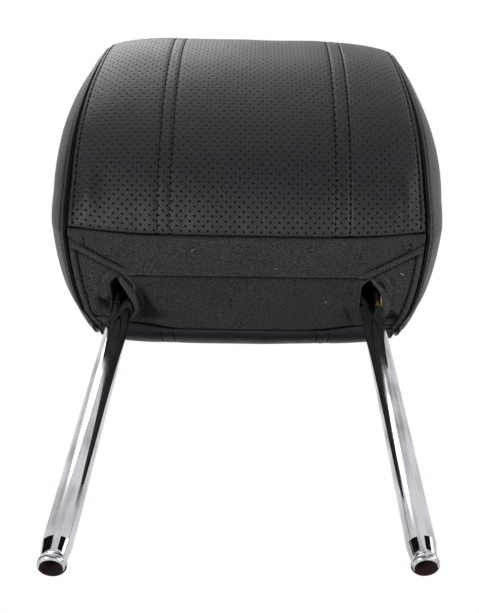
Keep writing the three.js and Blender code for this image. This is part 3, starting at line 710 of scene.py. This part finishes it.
def front_flap():
    """The front flap with its hem and slanted bands, and its stitch rows."""
    off, band_lift = np.array(FLAP_BAND).T
    side_off = off / -slope[1]
    hem_off, hem_lift = np.array(FLAP_HEM[::-1]).T
    hem_y = HEM_Y - hem_off
    inner = np.linspace(-1, 1, 160)
    count = 26
    shares = np.concatenate([[0, 0, 0.01], np.linspace(0.03, 0.99, count)])
    start_lift = np.concatenate([[3.5, 1.2, 0.35], np.zeros(count + len(hem_y))])
    ref = np.concatenate([off - 113, inner * 104, 113 - off[::-1]])
    start_y = BASE_FRONT - front_edge(ref) + 0.3
    y = start_y[None, :] + (hem_y[0] - start_y)[None, :] * shares[:, None]
    y = np.concatenate([y, np.repeat(hem_y[:, None], len(ref), axis=1)])
    slanted = HEM_HALF + (HEM_Y - y) * slope[0] / -slope[1]
    half = np.minimum(slanted, seam_half(y, 0.0) - groove(0.0) - 0.1)
    n = len(off)
    across = [
        side_off - half[:, :n],
        inner * (half[:, n : n + len(inner)] - side_off[-1] - 0.6),
        half[:, -n:] - side_off[::-1],
    ]
    x = np.concatenate(across, axis=1)
    sloped = smooth((y - CORNER_Y + 3) / 5)
    end_fold = np.concatenate([np.zeros(len(shares)), hem_lift])
    bands = np.concatenate([band_lift, np.zeros(len(inner)), band_lift[::-1]])[None, :]
    bands = bands * (0.25 + 0.75 * sloped)
    # Depths above 0 turn in and those below 0 stand proud
    turned = np.maximum(np.maximum(start_lift, np.maximum(end_fold, 0))[:, None], bands)
    proud = np.minimum(np.minimum(end_fold, 0)[:, None], np.minimum(bands, 0))
    lift = turned + np.where(turned > 0.8, 0, proud)
    # The cloth sags a little between the fold and the hem
    spots = np.stack([x, y, 0 * x], axis=-1)
    fade = np.clip((y - start_y) / 5, 0, 1)
    from_fold = np.clip((y - start_y) / (HEM_Y - start_y), 0, 1)
    sag_depth, sag_half = 1.1, 100
    sag = -sag_depth * np.clip(1 - (x / sag_half) ** 2, 0, 1) * np.sin(np.pi * from_fold)
    soft = ripple(spots, size=30, height=0.8, seed=4.0)
    soft = soft + ripple(spots, size=11, height=0.3, seed=6.0)
    lift = lift + (soft + sag) * fade
    points = under_place(x, y, lift)
    # Painted paler along the hem's fold, as wear and painted highlight; painted shade in the stitch
    # row of the bands, along the fold at the front and where the cloth turns in
    from_hem = -beyond_hem(x, y)
    banded = 1 - smooth((HEM_HALF + 4 - np.abs(x)) / 8)
    tone = 0.75 * bell(from_hem - 0.7, 0.8) + 0.3 * bell(from_hem - 2.6, 1.4) * banded
    tone -= 0.95 * bell(from_hem - BAND, 0.8) * banded
    tone -= 0.8 * bell(y - start_y, 1.0)
    tone -= 0.9 * smooth((turned - 1.0) / 1.0)
    flat = points[..., :2].copy()
    obj = grid_object("suede_front_flap", points, flat, flip=True, fold=np.clip(tone, -1, 1))
    stitch = off.tolist().index(BAND)
    return obj, edge_paths(points, slice(6, 3 + count), stitch)


# Sections of the turned suede, from its edge in the slot outward: share of the width, depth as
# a share (below 0 it stands proud), and how much paler (1) or darker (-1) it is painted: paler
# inside the slot and over the roll as painted light and wear, darker where it meets the panel as
# painted shade
LIP_SECTION = [
    (0.0, 1.0, 1.0), (-0.02, 0.55, 1.0), (0.0, 0.2, 0.6), (0.08, -0.1, 0.2), (0.25, -0.6, 0.5),
    (0.5, -1.0, 0.6), (0.75, -0.7, 0.4), (0.93, -0.1, 0.0), (1.0, 0.5, -0.7), (1.02, 1.0, -0.9),
]
# The bands in the same way: paler over the roll as painted highlight, darker at the outer edge as
# painted shade, and the last rows are a dark flange turned under the panel, painted shadow
BAND_SECTION = [
    (-0.02, 0.6, 0.0), (0.02, 0.0, 0.3), (0.12, -0.55, 0.7), (0.3, -0.9, 0.55), (0.5, -1.0, 0.5),
    (0.7, -0.9, 0.4), (0.86, -0.55, 0.45), (0.97, 0.0, 0.1), (1.0, 0.6, -0.8),
    (1.02, 1.3, -0.85), (1.3, 1.9, -0.8), (1.8, 2.6, -0.8),
]
# The lining inside a slot: height, and how much wider it is than at its foot
LINING_SECTION = [(3.2, 0.0), (3.6, 0.4), (6.0, 0.9), (10.0, 1.2), (15.0, 1.6), (19.0, 2.4)]


def slot_lip(name, x0, right, left, shift):
    """The suede turned in round a post slot.

    right and left are the roll's width and how far it stands proud on either side, and shift
    is how far the right side is pulled away.
    """
    turns = full_turn(96)
    cx, cy = np.cos(turns), np.sin(turns)
    to_right = smooth((cx + 0.6) / 1.4)
    wide = left[0] + (right[0] - left[0]) * to_right
    proud = left[1] + (right[1] - left[1]) * to_right
    pulled = shift * np.clip(cx, 0, 1) ** 2
    edge_radius, front_widening = 7.45, 0.2
    inner_depth, outer_depth = 3.5 - 0.8 * to_right * (shift > 0), 2.2
    # The slot's front end is drawn to a blunt point
    point_power = 1.8
    pointed = (np.abs(cx) ** point_power + np.abs(cy) ** point_power) ** (-1 / point_power)
    reach = np.where(cy < 0, pointed, 1)
    rings, tones = [], []
    for across, up, wear_and_painted_light in LIP_SECTION:
        r = edge_radius + front_widening * np.clip(-3 * cy, 0, 1) + wide * across + pulled
        y = np.where(cy >= 0, cy * r, SLOT_FRONT + cy * r * reach)
        x = x0 + cx * r * reach
        deep = inner_depth if across < 0.5 else outer_depth
        rise = np.where(up > 0, up * deep, up * proud)
        rings.append(np.stack([x, y, rear_lift(x, y) + rise], axis=1))
        # Painted light and shade: the rows in the slot take it fully, the proud roll more faintly
        tones.append(np.full(len(turns), wear_and_painted_light if up > 0 else 0.4 * wear_and_painted_light))
    points = np.array(rings)
    points[..., 2] += ripple(points, size=7, height=0.4, seed=x0)
    flat = points[..., :2].copy()
    return grid_object(name, points, flat, closed=True, flip=True, fold=np.array(tones))


def slot_lining(name, x0, pulled):
    """The lining inside a post slot, above the turned edge of the suede."""
    foot_radius = 7.9
    turns = full_turn(64)
    cx, cy = np.cos(turns), np.sin(turns)
    rings = []
    for z, wider in LINING_SECTION:
        r = foot_radius + wider + pulled * np.clip(cx, 0, 1) ** 2
        y = np.where(cy >= 0, cy * r, SLOT_FRONT + cy * r)
        rings.append(np.stack([x0 + cx * r, y, np.full(len(turns), z)], axis=1))
    return grid_object(name, np.array(rings), closed=True, flip=True)


def slot_band(name, inner, outer, proud, lining):
    """A turned strip of suede beside a post slot.

    It runs from its edge at the slot to its edge on the panel. proud is how far it stands out,
    and lining how deep its edge goes into the slot.
    """
    steps = np.linspace(0, 1, 45)
    edges = []
    for line in (inner, outer):
        at = distances(line)
        edges.append(spline(at / at[-1], np.array(line, float), steps))
    # It lies flat at both ends
    front_fade, rear_fade = 0.12, 0.15
    ends = smooth(steps / front_fade) * smooth((1 - steps) / rear_fade)
    rings, tones = [], []
    for across, up, wear_and_painted_light in [(0.02, lining, 0.3)] + BAND_SECTION:
        flat = edges[0] * (1 - across) + edges[1] * across
        level = up * proud * ends if up < 0 else up
        rings.append(np.column_stack([flat, level + 0.4 * (1 - ends)]))
        # Each row's painted light: paler over the roll, painted shadow at and past its outer edge
        tones.append(np.full(len(steps), wear_and_painted_light))
    points = np.array(rings)
    points[..., 2] += ripple(points, size=6, height=0.35, seed=4.0)
    flat = points[..., :2].copy()
    return grid_object(name, points, flat, flip=inner[0][0] > 0, fold=np.array(tones))


def foam_edge():
    """The torn edge of foam that shows between the right post and the suede."""
    centre, half_size, lean = (90.8, -5.6, 4.2), (1.7, 8.0, 3.4), 0.08
    turns = full_turn(24)
    rings = []
    for tip in np.linspace(-1, 1, 15):
        r = math.sqrt(max(1 - tip * tip, 0.004))
        x = centre[0] + lean * tip + half_size[0] * r * np.cos(turns)
        y = np.full(len(turns), centre[1] + half_size[1] * tip)
        z = centre[2] + half_size[2] * r * np.sin(turns)
        rings.append(np.stack([x, y, z], axis=1))
    points = np.array(rings)
    points += ripple(points, size=2.5, height=0.5, seed=1.5)[..., None]
    return grid_object("foam_edge", points, closed=True, flip=True)


# Pale fibres caught in the nap: x, y, heading, length
FIBRES = [
    (100.3, -28.6, 0.5, 2.2), (101.2, -27.8, 2.0, 1.2), (-101, -24, 1.1, 1.0),
    (18.2, -31.3, 0.2, 1.4), (-35, -44, 2.4, 1.1), (52, -6, 0.8, 1.2),
]


def lint():
    """A few pale fibres, bowed and lying on the suede."""
    rings, radius, triangle = 7, 0.12, (0, 2.1, 4.2)
    verts, faces = [], []
    for x, y, heading, size in FIBRES:
        faces += tube_faces(len(verts), rings, len(triangle))
        for t in np.linspace(-0.5, 0.5, rings):
            cx = x + size * t * math.cos(heading) - 0.5 * t * t
            cy = y + size * t * math.sin(heading) + 0.9 * t * t
            centre = np.array([cx, cy, -0.6 - 0.6 * (0.25 - t * t)])
            for a in triangle:
                side = np.array([math.cos(a), math.sin(a), 0.6 * math.sin(2 * a)])
                verts.append(centre + radius * side)
    return mesh_object("lint", verts, faces, is_smooth=False)


# The swaged end of a post, and its bore: height above the end, radius
TIP = [
    (0.0, 4.95), (0.05, 5.25), (0.35, 5.95), (0.8, 6.35), (1.4, 6.58), (2.1, 6.65),
    (2.8, 6.58), (3.4, 6.35), (3.8, 6.05), (4.1, 5.85), (4.5, 5.82), (4.8, 5.9),
    (5.0, 5.97), (8.0, 6.4), (11.9, 6.95), (12.2, 7.0), (12.6, 7.0),
]
BORE = [
    (60.0, 5.4), (20.0, 5.4), (18.0, 5.3), (12.0, 4.75),
    (9.0, 4.6), (6.0, 4.95), (3.0, 5.1), (0.4, 5.1),
]


def post_tube():
    """One bent chromed tube, swaged at both ends, as a smooth surface of outer and inner wall."""
    radius, bend, top, low = 7.0, 30.0, 75.0, -208.0
    straight = [(h - low, radius) for h in np.linspace(-185, top - bend, 16)]
    half = []
    for rise, r in BORE + TIP + straight:
        half.append((np.array([-POST_X, 0, low + rise]), np.array([1.0, 0, 0]), r))
    for a in np.linspace(0, math.pi / 2, 17)[1:]:
        x, z = bend * (1 - math.cos(a)) - POST_X, top - bend * (1 - math.sin(a))
        half.append((np.array([x, 0, z]), np.array([math.cos(a), 0, -math.sin(a)]), radius))
    other = [(centre * [-1, 1, 1], across * [1, -1, -1], r) for centre, across, r in half[::-1]]
    turns = full_turn(64)[:, None]
    front_way = np.array([0, -1.0, 0])
    rings = [c + r * (np.cos(turns) * a + np.sin(turns) * front_way) for c, a, r in half + other]
    return grid_object("chromed_posts", np.array(rings), closed=True)


def foam_core():
    """The foam solid with soft faces, pressed in a little by the leather."""
    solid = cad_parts["foam_pad"]
    obj = bpy.data.objects.new("foam_core", solid.data.copy())
    bpy.context.scene.collection.objects.link(obj)
    obj.matrix_world = solid.matrix_world
    remesh = obj.modifiers.new("cells", "REMESH")
    remesh.mode = "VOXEL"
    remesh.voxel_size = 4 * MM
    remesh.use_smooth_shade = True
    shrink = obj.modifiers.new("compressed", "DISPLACE")
    shrink.strength, shrink.mid_level = -3.2 * MM, 0
    ease = obj.modifiers.new("ease", "SMOOTH")
    ease.iterations = 3
    evaluated = obj.evaluated_get(bpy.context.evaluated_depsgraph_get())
    baked = bpy.data.meshes.new_from_object(evaluated)
    obj.modifiers.clear()
    obj.data = baked
    return obj


suede_rear, rear_paths = rear_suede()
suede_front, front_paths = front_flap()
lips = [
    slot_lip("suede_lip_left", -POST_X, right=(1.8, 0.2), left=(2.4, 0.5), shift=0.0),
    slot_lip("suede_lip_right", POST_X, right=(1.6, 0.1), left=(1.6, 0.1), shift=1.6),
]
linings = [
    slot_lining("slot_lining_left", -POST_X, pulled=0.0),
    slot_lining("slot_lining_right", POST_X, pulled=3.6),
]
# Each band's edge at the slot and its edge on the panel, from its front end to its rear end
LEFT_BAND = (
    [(-84.4, -21.2), (-82.4, -17.5), (-79.0, -9.8), (-75.9, -3.2), (-75.2, 1.0), (-77.2, 5.8),
     (-79.4, 8.6)],
    [(-82.0, -23.2), (-78.5, -18.6), (-74.8, -13.2), (-72.0, -4.0), (-71.8, 1.4), (-73.4, 6.0),
     (-77.0, 10.4)],
)
RIGHT_BAND = (
    [(80.4, -22.8), (83.4, -18.6), (86.9, -14.0), (89.3, -8.5), (90.2, -3.0), (90.1, 0.8),
     (88.8, 5.0)],
    [(82.0, -24.0), (86.8, -19.4), (91.2, -14.3), (94.7, -7.6), (95.9, -1.0), (94.8, 3.4),
     (91.0, 8.2)],
)
bands = [
    slot_band("suede_band_left", *LEFT_BAND, proud=2.6, lining=4.0),
    slot_band("suede_band_right", *RIGHT_BAND, proud=1.3, lining=2.0),
]
hem_stitching = threads("hem_stitching", rear_paths + front_paths)
fibres = lint()
posts = post_tube()
torn_foam = foam_edge()
foam = foam_core()


# Materials
def linear(code):
    """Linear colour from an sRGB hex code."""
    parts = [int(code[k : k + 2], 16) / 255 for k in (1, 3, 5)]
    low_end = 0.04045
    rgb = [p / 12.92 if p <= low_end else ((p + 0.055) / 1.055) ** 2.4 for p in parts]
    return (*rgb, 1.0)


def set_sockets(tree, node, sockets):
    """Give each socket a value, or link it to an output or to another node's first output."""
    for key, value in sockets.items():
        if isinstance(value, bpy.types.Node):
            value = value.outputs[0]
        if isinstance(value, bpy.types.NodeSocket):
            tree.links.new(value, node.inputs[key])
        else:
            node.inputs[key].default_value = value


def add(tree, kind, sockets=None, **settings):
    """A node with its settings and links."""
    node = tree.nodes.new(kind)
    for name, value in settings.items():
        setattr(node, name, value)
    set_sockets(tree, node, sockets or {})
    return node


def material(name):
    """A new material, with its node tree and its shader."""
    m = bpy.data.materials.new(name)
    m.use_nodes = True
    tree = m.node_tree
    tree.nodes.clear()
    shader = add(tree, "ShaderNodeBsdfPrincipled")
    add(tree, "ShaderNodeOutputMaterial", {"Surface": shader})
    return m, tree, shader


def per_metre(size):
    """A pattern's scale from the real size of one of its cells in mm."""
    return 1 / (size * MM)


# Punched leather: distance between holes across and along, the hole's soft edge and its dish
HOLE_PITCH = (5.6, 6.2)
HOLE_EDGE = {"From Min": 0.54, "From Max": 0.4}
HOLE_DISH = {"From Min": 0.25, "From Max": 0.9}


def hole_distance(tree):
    """Distance in mm from the nearest hole of two lattices, one in the gaps of the other."""
    cut = add(tree, "ShaderNodeUVMap", uv_map="cut_mm")
    spans = (*HOLE_PITCH, 1.0)
    lattice = add(tree, "ShaderNodeVectorMath", {0: cut, 1: spans}, operation="DIVIDE")
    gaps = []
    for shift in (0.0, 0.5):
        by = {0: lattice, 1: (shift, shift, 0.0)}
        moved = add(tree, "ShaderNodeVectorMath", by, operation="ADD")
        part = add(tree, "ShaderNodeVectorMath", {0: moved}, operation="FRACTION")
        to_middle = {0: part, 1: (0.5, 0.5, 0.0)}
        centred = add(tree, "ShaderNodeVectorMath", to_middle, operation="SUBTRACT")
        back_to_mm = {0: centred, 1: (*HOLE_PITCH, 0.0)}
        real = add(tree, "ShaderNodeVectorMath", back_to_mm, operation="MULTIPLY")
        length = add(tree, "ShaderNodeVectorMath", {0: real}, operation="LENGTH")
        gaps.append(length.outputs["Value"])
    return add(tree, "ShaderNodeMath", {0: gaps[0], 1: gaps[1]}, operation="MINIMUM")


def leather(name, perforated, gloss=0.36):
    """Black cowhide, dyed, finished and embossed with a grain.

    It gives a soft sheen broken by the grain, and dimples where it is punched, whose holes are
    painted near black as painted shade. The grain is about twice its real width, so that it shows.
    """
    m, tree, shader = material(name)
    place = add(tree, "ShaderNodeTexCoord").outputs["Object"]
    cells = {"Vector": place, "Scale": per_metre(1.111)}
    grain = add(tree, "ShaderNodeTexVoronoi", cells, feature="DISTANCE_TO_EDGE")
    pores = {"Vector": place, "Scale": per_metre(0.714), "Detail": 3.0}
    fine = add(tree, "ShaderNodeTexNoise", pores)
    patches = {"Vector": place, "Scale": per_metre(22.2), "Detail": 4.0}
    wear = add(tree, "ShaderNodeTexNoise", patches)
    height = add(tree, "ShaderNodeMath", {0: grain, 1: 0.6, 2: fine}, operation="MULTIPLY_ADD")
    relief = {"Height": height, "Strength": 0.55, "Distance": 0.4 * MM}
    bump = add(tree, "ShaderNodeBump", relief)
    hues = {"Factor": wear, "A": linear("#0f1115"), "B": linear("#17191e")}
    base = add(tree, "ShaderNodeMix", hues, data_type="RGBA").outputs["Result"]
    level = gloss
    if perforated:
        away = hole_distance(tree)
        soft = {"interpolation_type": "SMOOTHSTEP"}
        hole = add(tree, "ShaderNodeMapRange", {"Value": away, **HOLE_EDGE}, **soft)
        dish = add(tree, "ShaderNodeMapRange", {"Value": away, **HOLE_DISH}, **soft)
        relief = {"Height": dish, "Strength": 1.0, "Distance": 1.0 * MM, "Normal": bump}
        bump = add(tree, "ShaderNodeBump", relief)
        # Painted shade: each punched hole is painted near black
        hues = {"Factor": hole, "A": base, "B": linear("#020202")}
        base = add(tree, "ShaderNodeMix", hues, data_type="RGBA").outputs["Result"]
        level = add(tree, "ShaderNodeMapRange", {"Value": hole, "To Min": gloss, "To Max": 0.0})
    look = {"Base Color": base, "Roughness": 0.42, "Specular IOR Level": level, "Normal": bump}
    set_sockets(tree, shader, look)
    return m


def suede():
    """Dark grey microfibre suede, knitted and sanded to a short nap.

    It scatters light evenly, and its colour is painted paler on its folds, as wear and painted
    highlight, and darker in its creases and recesses as painted shade. The nap is a few times its
    real width, so that it shows.
    """
    m, tree, shader = material("microfibre suede")
    place = add(tree, "ShaderNodeTexCoord").outputs["Object"]
    tufts = {"Vector": place, "Scale": per_metre(0.87), "Detail": 1.0, "Roughness": 0.8}
    nap = add(tree, "ShaderNodeTexNoise", tufts)
    patches = {"Vector": place, "Scale": per_metre(16.7), "Detail": 4.0}
    brushed = add(tree, "ShaderNodeTexNoise", patches)
    speck = add(tree, "ShaderNodeMapRange", {"Value": nap, "From Min": 0.42, "From Max": 0.58})
    mottled = add(tree, "ShaderNodeMath", {0: brushed, 1: 0.35, 2: speck}, operation="MULTIPLY_ADD")
    even = add(tree, "ShaderNodeMapRange", {"Value": mottled, "From Min": -0.5, "From Max": 1.75})
    # Painted light and shade from the fold attribute: paler on folds as wear and highlight, darker
    # in creases as painted shade
    fold = add(tree, "ShaderNodeAttribute", attribute_name="fold").outputs["Fac"]
    wear_and_light_scale = add(tree, "ShaderNodeMath", {0: fold, 1: 0.8, 2: 1.0}, operation="MULTIPLY_ADD")
    wear_and_painted_light = add(tree, "ShaderNodeMath", {0: wear_and_light_scale, 1: 0.1}, operation="MAXIMUM")
    shade = add(tree, "ShaderNodeMath", {0: even, 1: wear_and_painted_light}, operation="MULTIPLY", use_clamp=True)
    hues = {"Factor": shade, "A": linear("#030303"), "B": linear("#474848")}
    base = add(tree, "ShaderNodeMix", hues, data_type="RGBA").outputs["Result"]
    bump = add(tree, "ShaderNodeBump", {"Height": nap, "Strength": 0.8, "Distance": 0.5 * MM})
    look = {"Base Color": base, "Roughness": 1.0, "Specular IOR Level": 0.1, "Normal": bump}
    set_sockets(tree, shader, look)
    return m


def chrome():
    """Bright chrome plate on a drawn steel tube.

    It mirrors the room under greyish handling streaks that run along the tube, and the bare
    steel inside the cut ends is rusty and matt.
    """
    m, tree, shader = material("chrome plate")
    place = add(tree, "ShaderNodeTexCoord").outputs["Object"]
    streak_size = (per_metre(3.03), per_metre(3.03), per_metre(62.5))
    along = add(tree, "ShaderNodeVectorMath", {0: place, 1: streak_size}, operation="MULTIPLY")
    streaks = {"Vector": along, "Scale": 1.0, "Detail": 5.0, "Roughness": 0.6}
    streak = add(tree, "ShaderNodeTexNoise", streaks)
    patches = {"Vector": place, "Scale": per_metre(26.3), "Detail": 3.0}
    haze = add(tree, "ShaderNodeTexNoise", patches)
    handled = add(tree, "ShaderNodeMath", {0: streak, 1: haze}, operation="MULTIPLY")
    dull = add(tree, "ShaderNodeMapRange", {"Value": handled, "From Min": 0.19, "From Max": 0.36})
    # 1 inside the bore, which is nearer a post's axis than its wall and well below the head
    bore_radius, bore_top = 5.25 * MM, -100 * MM
    apart = add(tree, "ShaderNodeSeparateXYZ", {0: place}).outputs
    sideways = add(tree, "ShaderNodeMath", {0: apart["X"]}, operation="ABSOLUTE")
    to_axis = add(tree, "ShaderNodeMath", {0: sideways, 1: POST_X * MM}, operation="SUBTRACT")
    x_part = add(tree, "ShaderNodeMath", {0: to_axis, 1: 2.0}, operation="POWER")
    y_part = add(tree, "ShaderNodeMath", {0: apart["Y"], 1: 2.0}, operation="POWER")
    square = add(tree, "ShaderNodeMath", {0: x_part, 1: y_part}, operation="ADD")
    radius = add(tree, "ShaderNodeMath", {0: square}, operation="SQRT")
    within = add(tree, "ShaderNodeMath", {0: radius, 1: bore_radius}, operation="LESS_THAN")
    low = add(tree, "ShaderNodeMath", {0: apart["Z"], 1: bore_top}, operation="LESS_THAN")
    inside = add(tree, "ShaderNodeMath", {0: within, 1: low}, operation="MULTIPLY")
    hues = {"Factor": dull, "A": linear("#c9cbce"), "B": linear("#909294")}
    plate = add(tree, "ShaderNodeMix", hues, data_type="RGBA").outputs["Result"]
    hues = {"Factor": haze, "A": linear("#120b09"), "B": linear("#38211a")}
    rust = add(tree, "ShaderNodeMix", hues, data_type="RGBA").outputs["Result"]
    hues = {"Factor": inside, "A": plate, "B": rust}
    base = add(tree, "ShaderNodeMix", hues, data_type="RGBA").outputs["Result"]
    gloss = add(tree, "ShaderNodeMapRange", {"Value": dull, "To Min": 0.04, "To Max": 0.2})
    rough = add(tree, "ShaderNodeMath", {0: gloss, 1: inside}, operation="MAXIMUM")
    plated = add(tree, "ShaderNodeMath", {0: 1.0, 1: inside}, operation="SUBTRACT")
    set_sockets(tree, shader, {"Base Color": base, "Metallic": plated, "Roughness": rough})
    return m


def plain(name, code, roughness, metallic=0.0, grain=0.0, level=0.5):
    """A finish of one colour; grain is the width in mm of the relief that breaks its surface."""
    m, tree, shader = material(name)
    look = {"Base Color": linear(code), "Roughness": roughness}
    set_sockets(tree, shader, {**look, "Metallic": metallic, "Specular IOR Level": level})
    if grain:
        place = add(tree, "ShaderNodeTexCoord").outputs["Object"]
        cells = {"Vector": place, "Scale": per_metre(grain), "Detail": 3.0}
        relief = add(tree, "ShaderNodeTexNoise", cells)
        bump = {"Height": relief, "Strength": 0.6, "Distance": 0.5 * MM}
        set_sockets(tree, shader, {"Normal": add(tree, "ShaderNodeBump", bump)})
    return m


hide = leather("grained leather", perforated=False)
# The rear panel is rubbed less, so its sheen is weaker
dull_hide = leather("duller grained leather", perforated=False, gloss=0.2)
punched = leather("perforated leather", perforated=True)
nap_cloth = suede()
mirror = chrome()
# Spun and waxed: black, with almost no shine
thread = plain("waxed polyester thread", "#08080a", 0.7, level=0.08)
# Pressed wool: grey, matt and uneven
lining_cloth = plain("grey lining felt", "#8c8c8c", 1.0, grain=1.43, level=0.1)
# Loose fibres: pale and matt, so they stand out on the nap
pale_fibre = plain("cotton lint", "#b9b6ae", 0.9, level=0.1)
# Polyurethane foam gone yellow with age: matt, with open cells where it is torn
foam_rubber = plain("yellowed moulded foam", "#a8905a", 0.95, grain=1.111)
# Moulded with glass fibre in it: grey-black, with a dull rough skin
nylon_black = plain("glass-filled nylon", "#5a5b5d", 0.6, grain=2.0)
# Moulded without colour: creamy, with the slight gloss of the mould
nylon_white = plain("natural nylon", "#d8d4c8", 0.45)
# Barrel-plated steel: a greyish metal with a blurred shine
zinc = plain("zinc plated steel", "#8e9296", 0.35, metallic=1.0)
# Cured in a mould: near black and matt
rubber = plain("black rubber", "#161616", 0.85)
# Woven with a pile: black, matt and rough
tape_cloth = plain("hook and loop tape", "#1b1b1c", 0.95, grain=0.667)


# Bodies and finishes
def dress(obj, finish, body):
    """Give a piece its material and the body that carries it."""
    obj.data.materials.clear()
    obj.data.materials.append(finish)
    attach(obj, body)


dress(front, punched, "head")
dress(rear, dull_hide, "head")
for tag in ("left", "right"):
    dress(sides[tag], hide, "head")
    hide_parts(f"side_cover_{tag}")
dress(stitching, thread, "head")
dress(hem_stitching, thread, "head")
dress(fibres, pale_fibre, "head")
dress(suede_rear, nap_cloth, "head")
dress(suede_front, nap_cloth, "head")
for lip in lips + bands:
    dress(lip, nap_cloth, "head")
for lining in linings:
    dress(lining, lining_cloth, "head")
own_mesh(bands[0])
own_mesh(bands[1])
dress(foam, foam_rubber, "head")
dress(torn_foam, foam_rubber, "head")
dress(posts, mirror, "posts")
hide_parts("front_cover")
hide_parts("rear_cover")
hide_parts("base_flap_rear")
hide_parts("base_flap_front")
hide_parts("foam_pad")
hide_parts("post_tube")

# The solids that stay, by how their names start
finishes = {
    "carrier": nylon_black,
    "friction": nylon_white,
    "sleeve": zinc,
    "strap": zinc,
    "rear_stop": rubber,
    "front_stop": rubber,
    "hook": tape_cloth,
    "loop": tape_cloth,
}
for name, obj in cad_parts.items():
    for start, finish in finishes.items():
        if name.startswith(start):
            obj.data.materials.clear()
            obj.data.materials.append(zinc if "screw" in name else finish)

# Stage: how bright the paper shows by itself, the floor's height, and the cards' distance
PAPER_LIFT = 0.4
FLOOR_HALF, FLOOR_Z = 6000, -1200
CARD_RADIUS, CARD_POINTS = 1300, 24


def is_seen(tree):
    """1 for rays that show the background to the camera or in metal, and 0 for the rest."""
    path = add(tree, "ShaderNodeLightPath").outputs
    rays = {0: path["Is Camera Ray"], 1: path["Is Glossy Ray"]}
    direct = add(tree, "ShaderNodeMath", rays, operation="MAXIMUM")
    rays = {0: direct, 1: path["Is Transmission Ray"]}
    return add(tree, "ShaderNodeMath", rays, operation="MAXIMUM")


def card(name, start, end, low, high):
    """A curved black card round the set that only mirrors see.

    It runs from one direction to another, in degrees from the front, and from low to high in m.
    """
    turns = np.radians(np.linspace(start, end, CARD_POINTS))
    rim = [(CARD_RADIUS * math.sin(t), -CARD_RADIUS * math.cos(t)) for t in turns]
    points = [(x, y, z / MM) for z in (low, high) for x, y in rim]
    n = CARD_POINTS
    faces = [(k, k + 1, k + n + 1, k + n) for k in range(n - 1)]
    obj = mesh_object(name, points, faces, is_smooth=False)
    obj.data.materials.append(black_card)
    obj.visible_camera = obj.visible_diffuse = obj.visible_shadow = False


def lamp(name, at, size, watts):
    """A round softbox that faces the head; its place and size are in m."""
    data = bpy.data.lights.new(name, "AREA")
    data.shape = "DISK"
    data.size = size
    data.energy = watts
    obj = bpy.data.objects.new(name, data)
    obj.location = at
    aim = Vector((0, 0, 0.05)) - Vector(at)
    obj.rotation_euler = aim.to_track_quat("-Z", "Y").to_euler()
    bpy.context.scene.collection.objects.link(obj)


corners = [(-1, -1), (1, -1), (1, 1), (-1, 1)]
floor_points = [(FLOOR_HALF * x, FLOOR_HALF * y, FLOOR_Z) for x, y in corners]
floor = mesh_object("floor", floor_points, [(0, 1, 2, 3)], is_smooth=False)
# Uncoated paper: white and matt, so it takes the object's shadow softly
paper = plain("white paper", "#f4f4f4", 0.9)
floor.data.materials.append(paper)
tree = paper.node_tree
glow = add(tree, "ShaderNodeMath", {0: is_seen(tree), 1: PAPER_LIFT}, operation="MULTIPLY")
own_light = {"Emission Color": (1, 1, 1, 1), "Emission Strength": glow}
set_sockets(tree, tree.nodes["Principled BSDF"], own_light)

# Black board: matt, and dark in the chrome
black_card = plain("black card", "#101114", 0.9, level=0.1)
card("card_left", start=-105, end=-27, low=0.1, high=0.6)
card("card_right", start=21, end=62, low=0.1, high=0.6)
card("card_low", start=-38, end=34, low=-1.1, high=-0.3)
card("card_back", start=140, end=220, low=-0.75, high=0.4)

scene = bpy.context.scene
scene.view_settings.view_transform = "Standard"
world = bpy.data.worlds.new("studio")
scene.world = world
world.use_nodes = True
tree = world.node_tree
tree.nodes.clear()
backdrop = add(tree, "ShaderNodeBackground", {"Color": (1, 1, 1, 1), "Strength": 1.0})
fill = add(tree, "ShaderNodeBackground", {"Color": (1, 1, 1, 1), "Strength": 0.6})
both = add(tree, "ShaderNodeMixShader", {0: is_seen(tree), 1: fill, 2: backdrop})
add(tree, "ShaderNodeOutputWorld", {"Surface": both})

lamp("overhead softbox", at=(-0.5, -0.7, 1.3), size=1.1, watts=9)
lamp("side softbox", at=(1.4, -0.5, 0.3), size=0.9, watts=3)
lamp("low left softbox", at=(-0.62, -0.66, -0.85), size=0.4, watts=5.5)
lamp("low right softbox", at=(0.95, -0.55, -0.75), size=0.4, watts=3.2)

# Camera, fitted to the posts and the outline in the photograph: its three axes and its place in m
eye = bpy.data.cameras.new("camera")
eye.lens, eye.sensor_width = 45.28, 36
eye.shift_x, eye.shift_y = -0.075, -0.0054
camera = bpy.data.objects.new("camera", eye)
scene.collection.objects.link(camera)
axis_right = (0.9991, -0.0324, -0.0259)
axis_up = (-0.013, -0.8381, 0.5453)
axis_back = (-0.0394, -0.5445, -0.8378)
spot = (0.00498, -0.28338, -0.42941)
camera.matrix_world = Matrix([*zip(axis_right, axis_up, axis_back, spot), (0, 0, 0, 1)])
scene.camera = camera
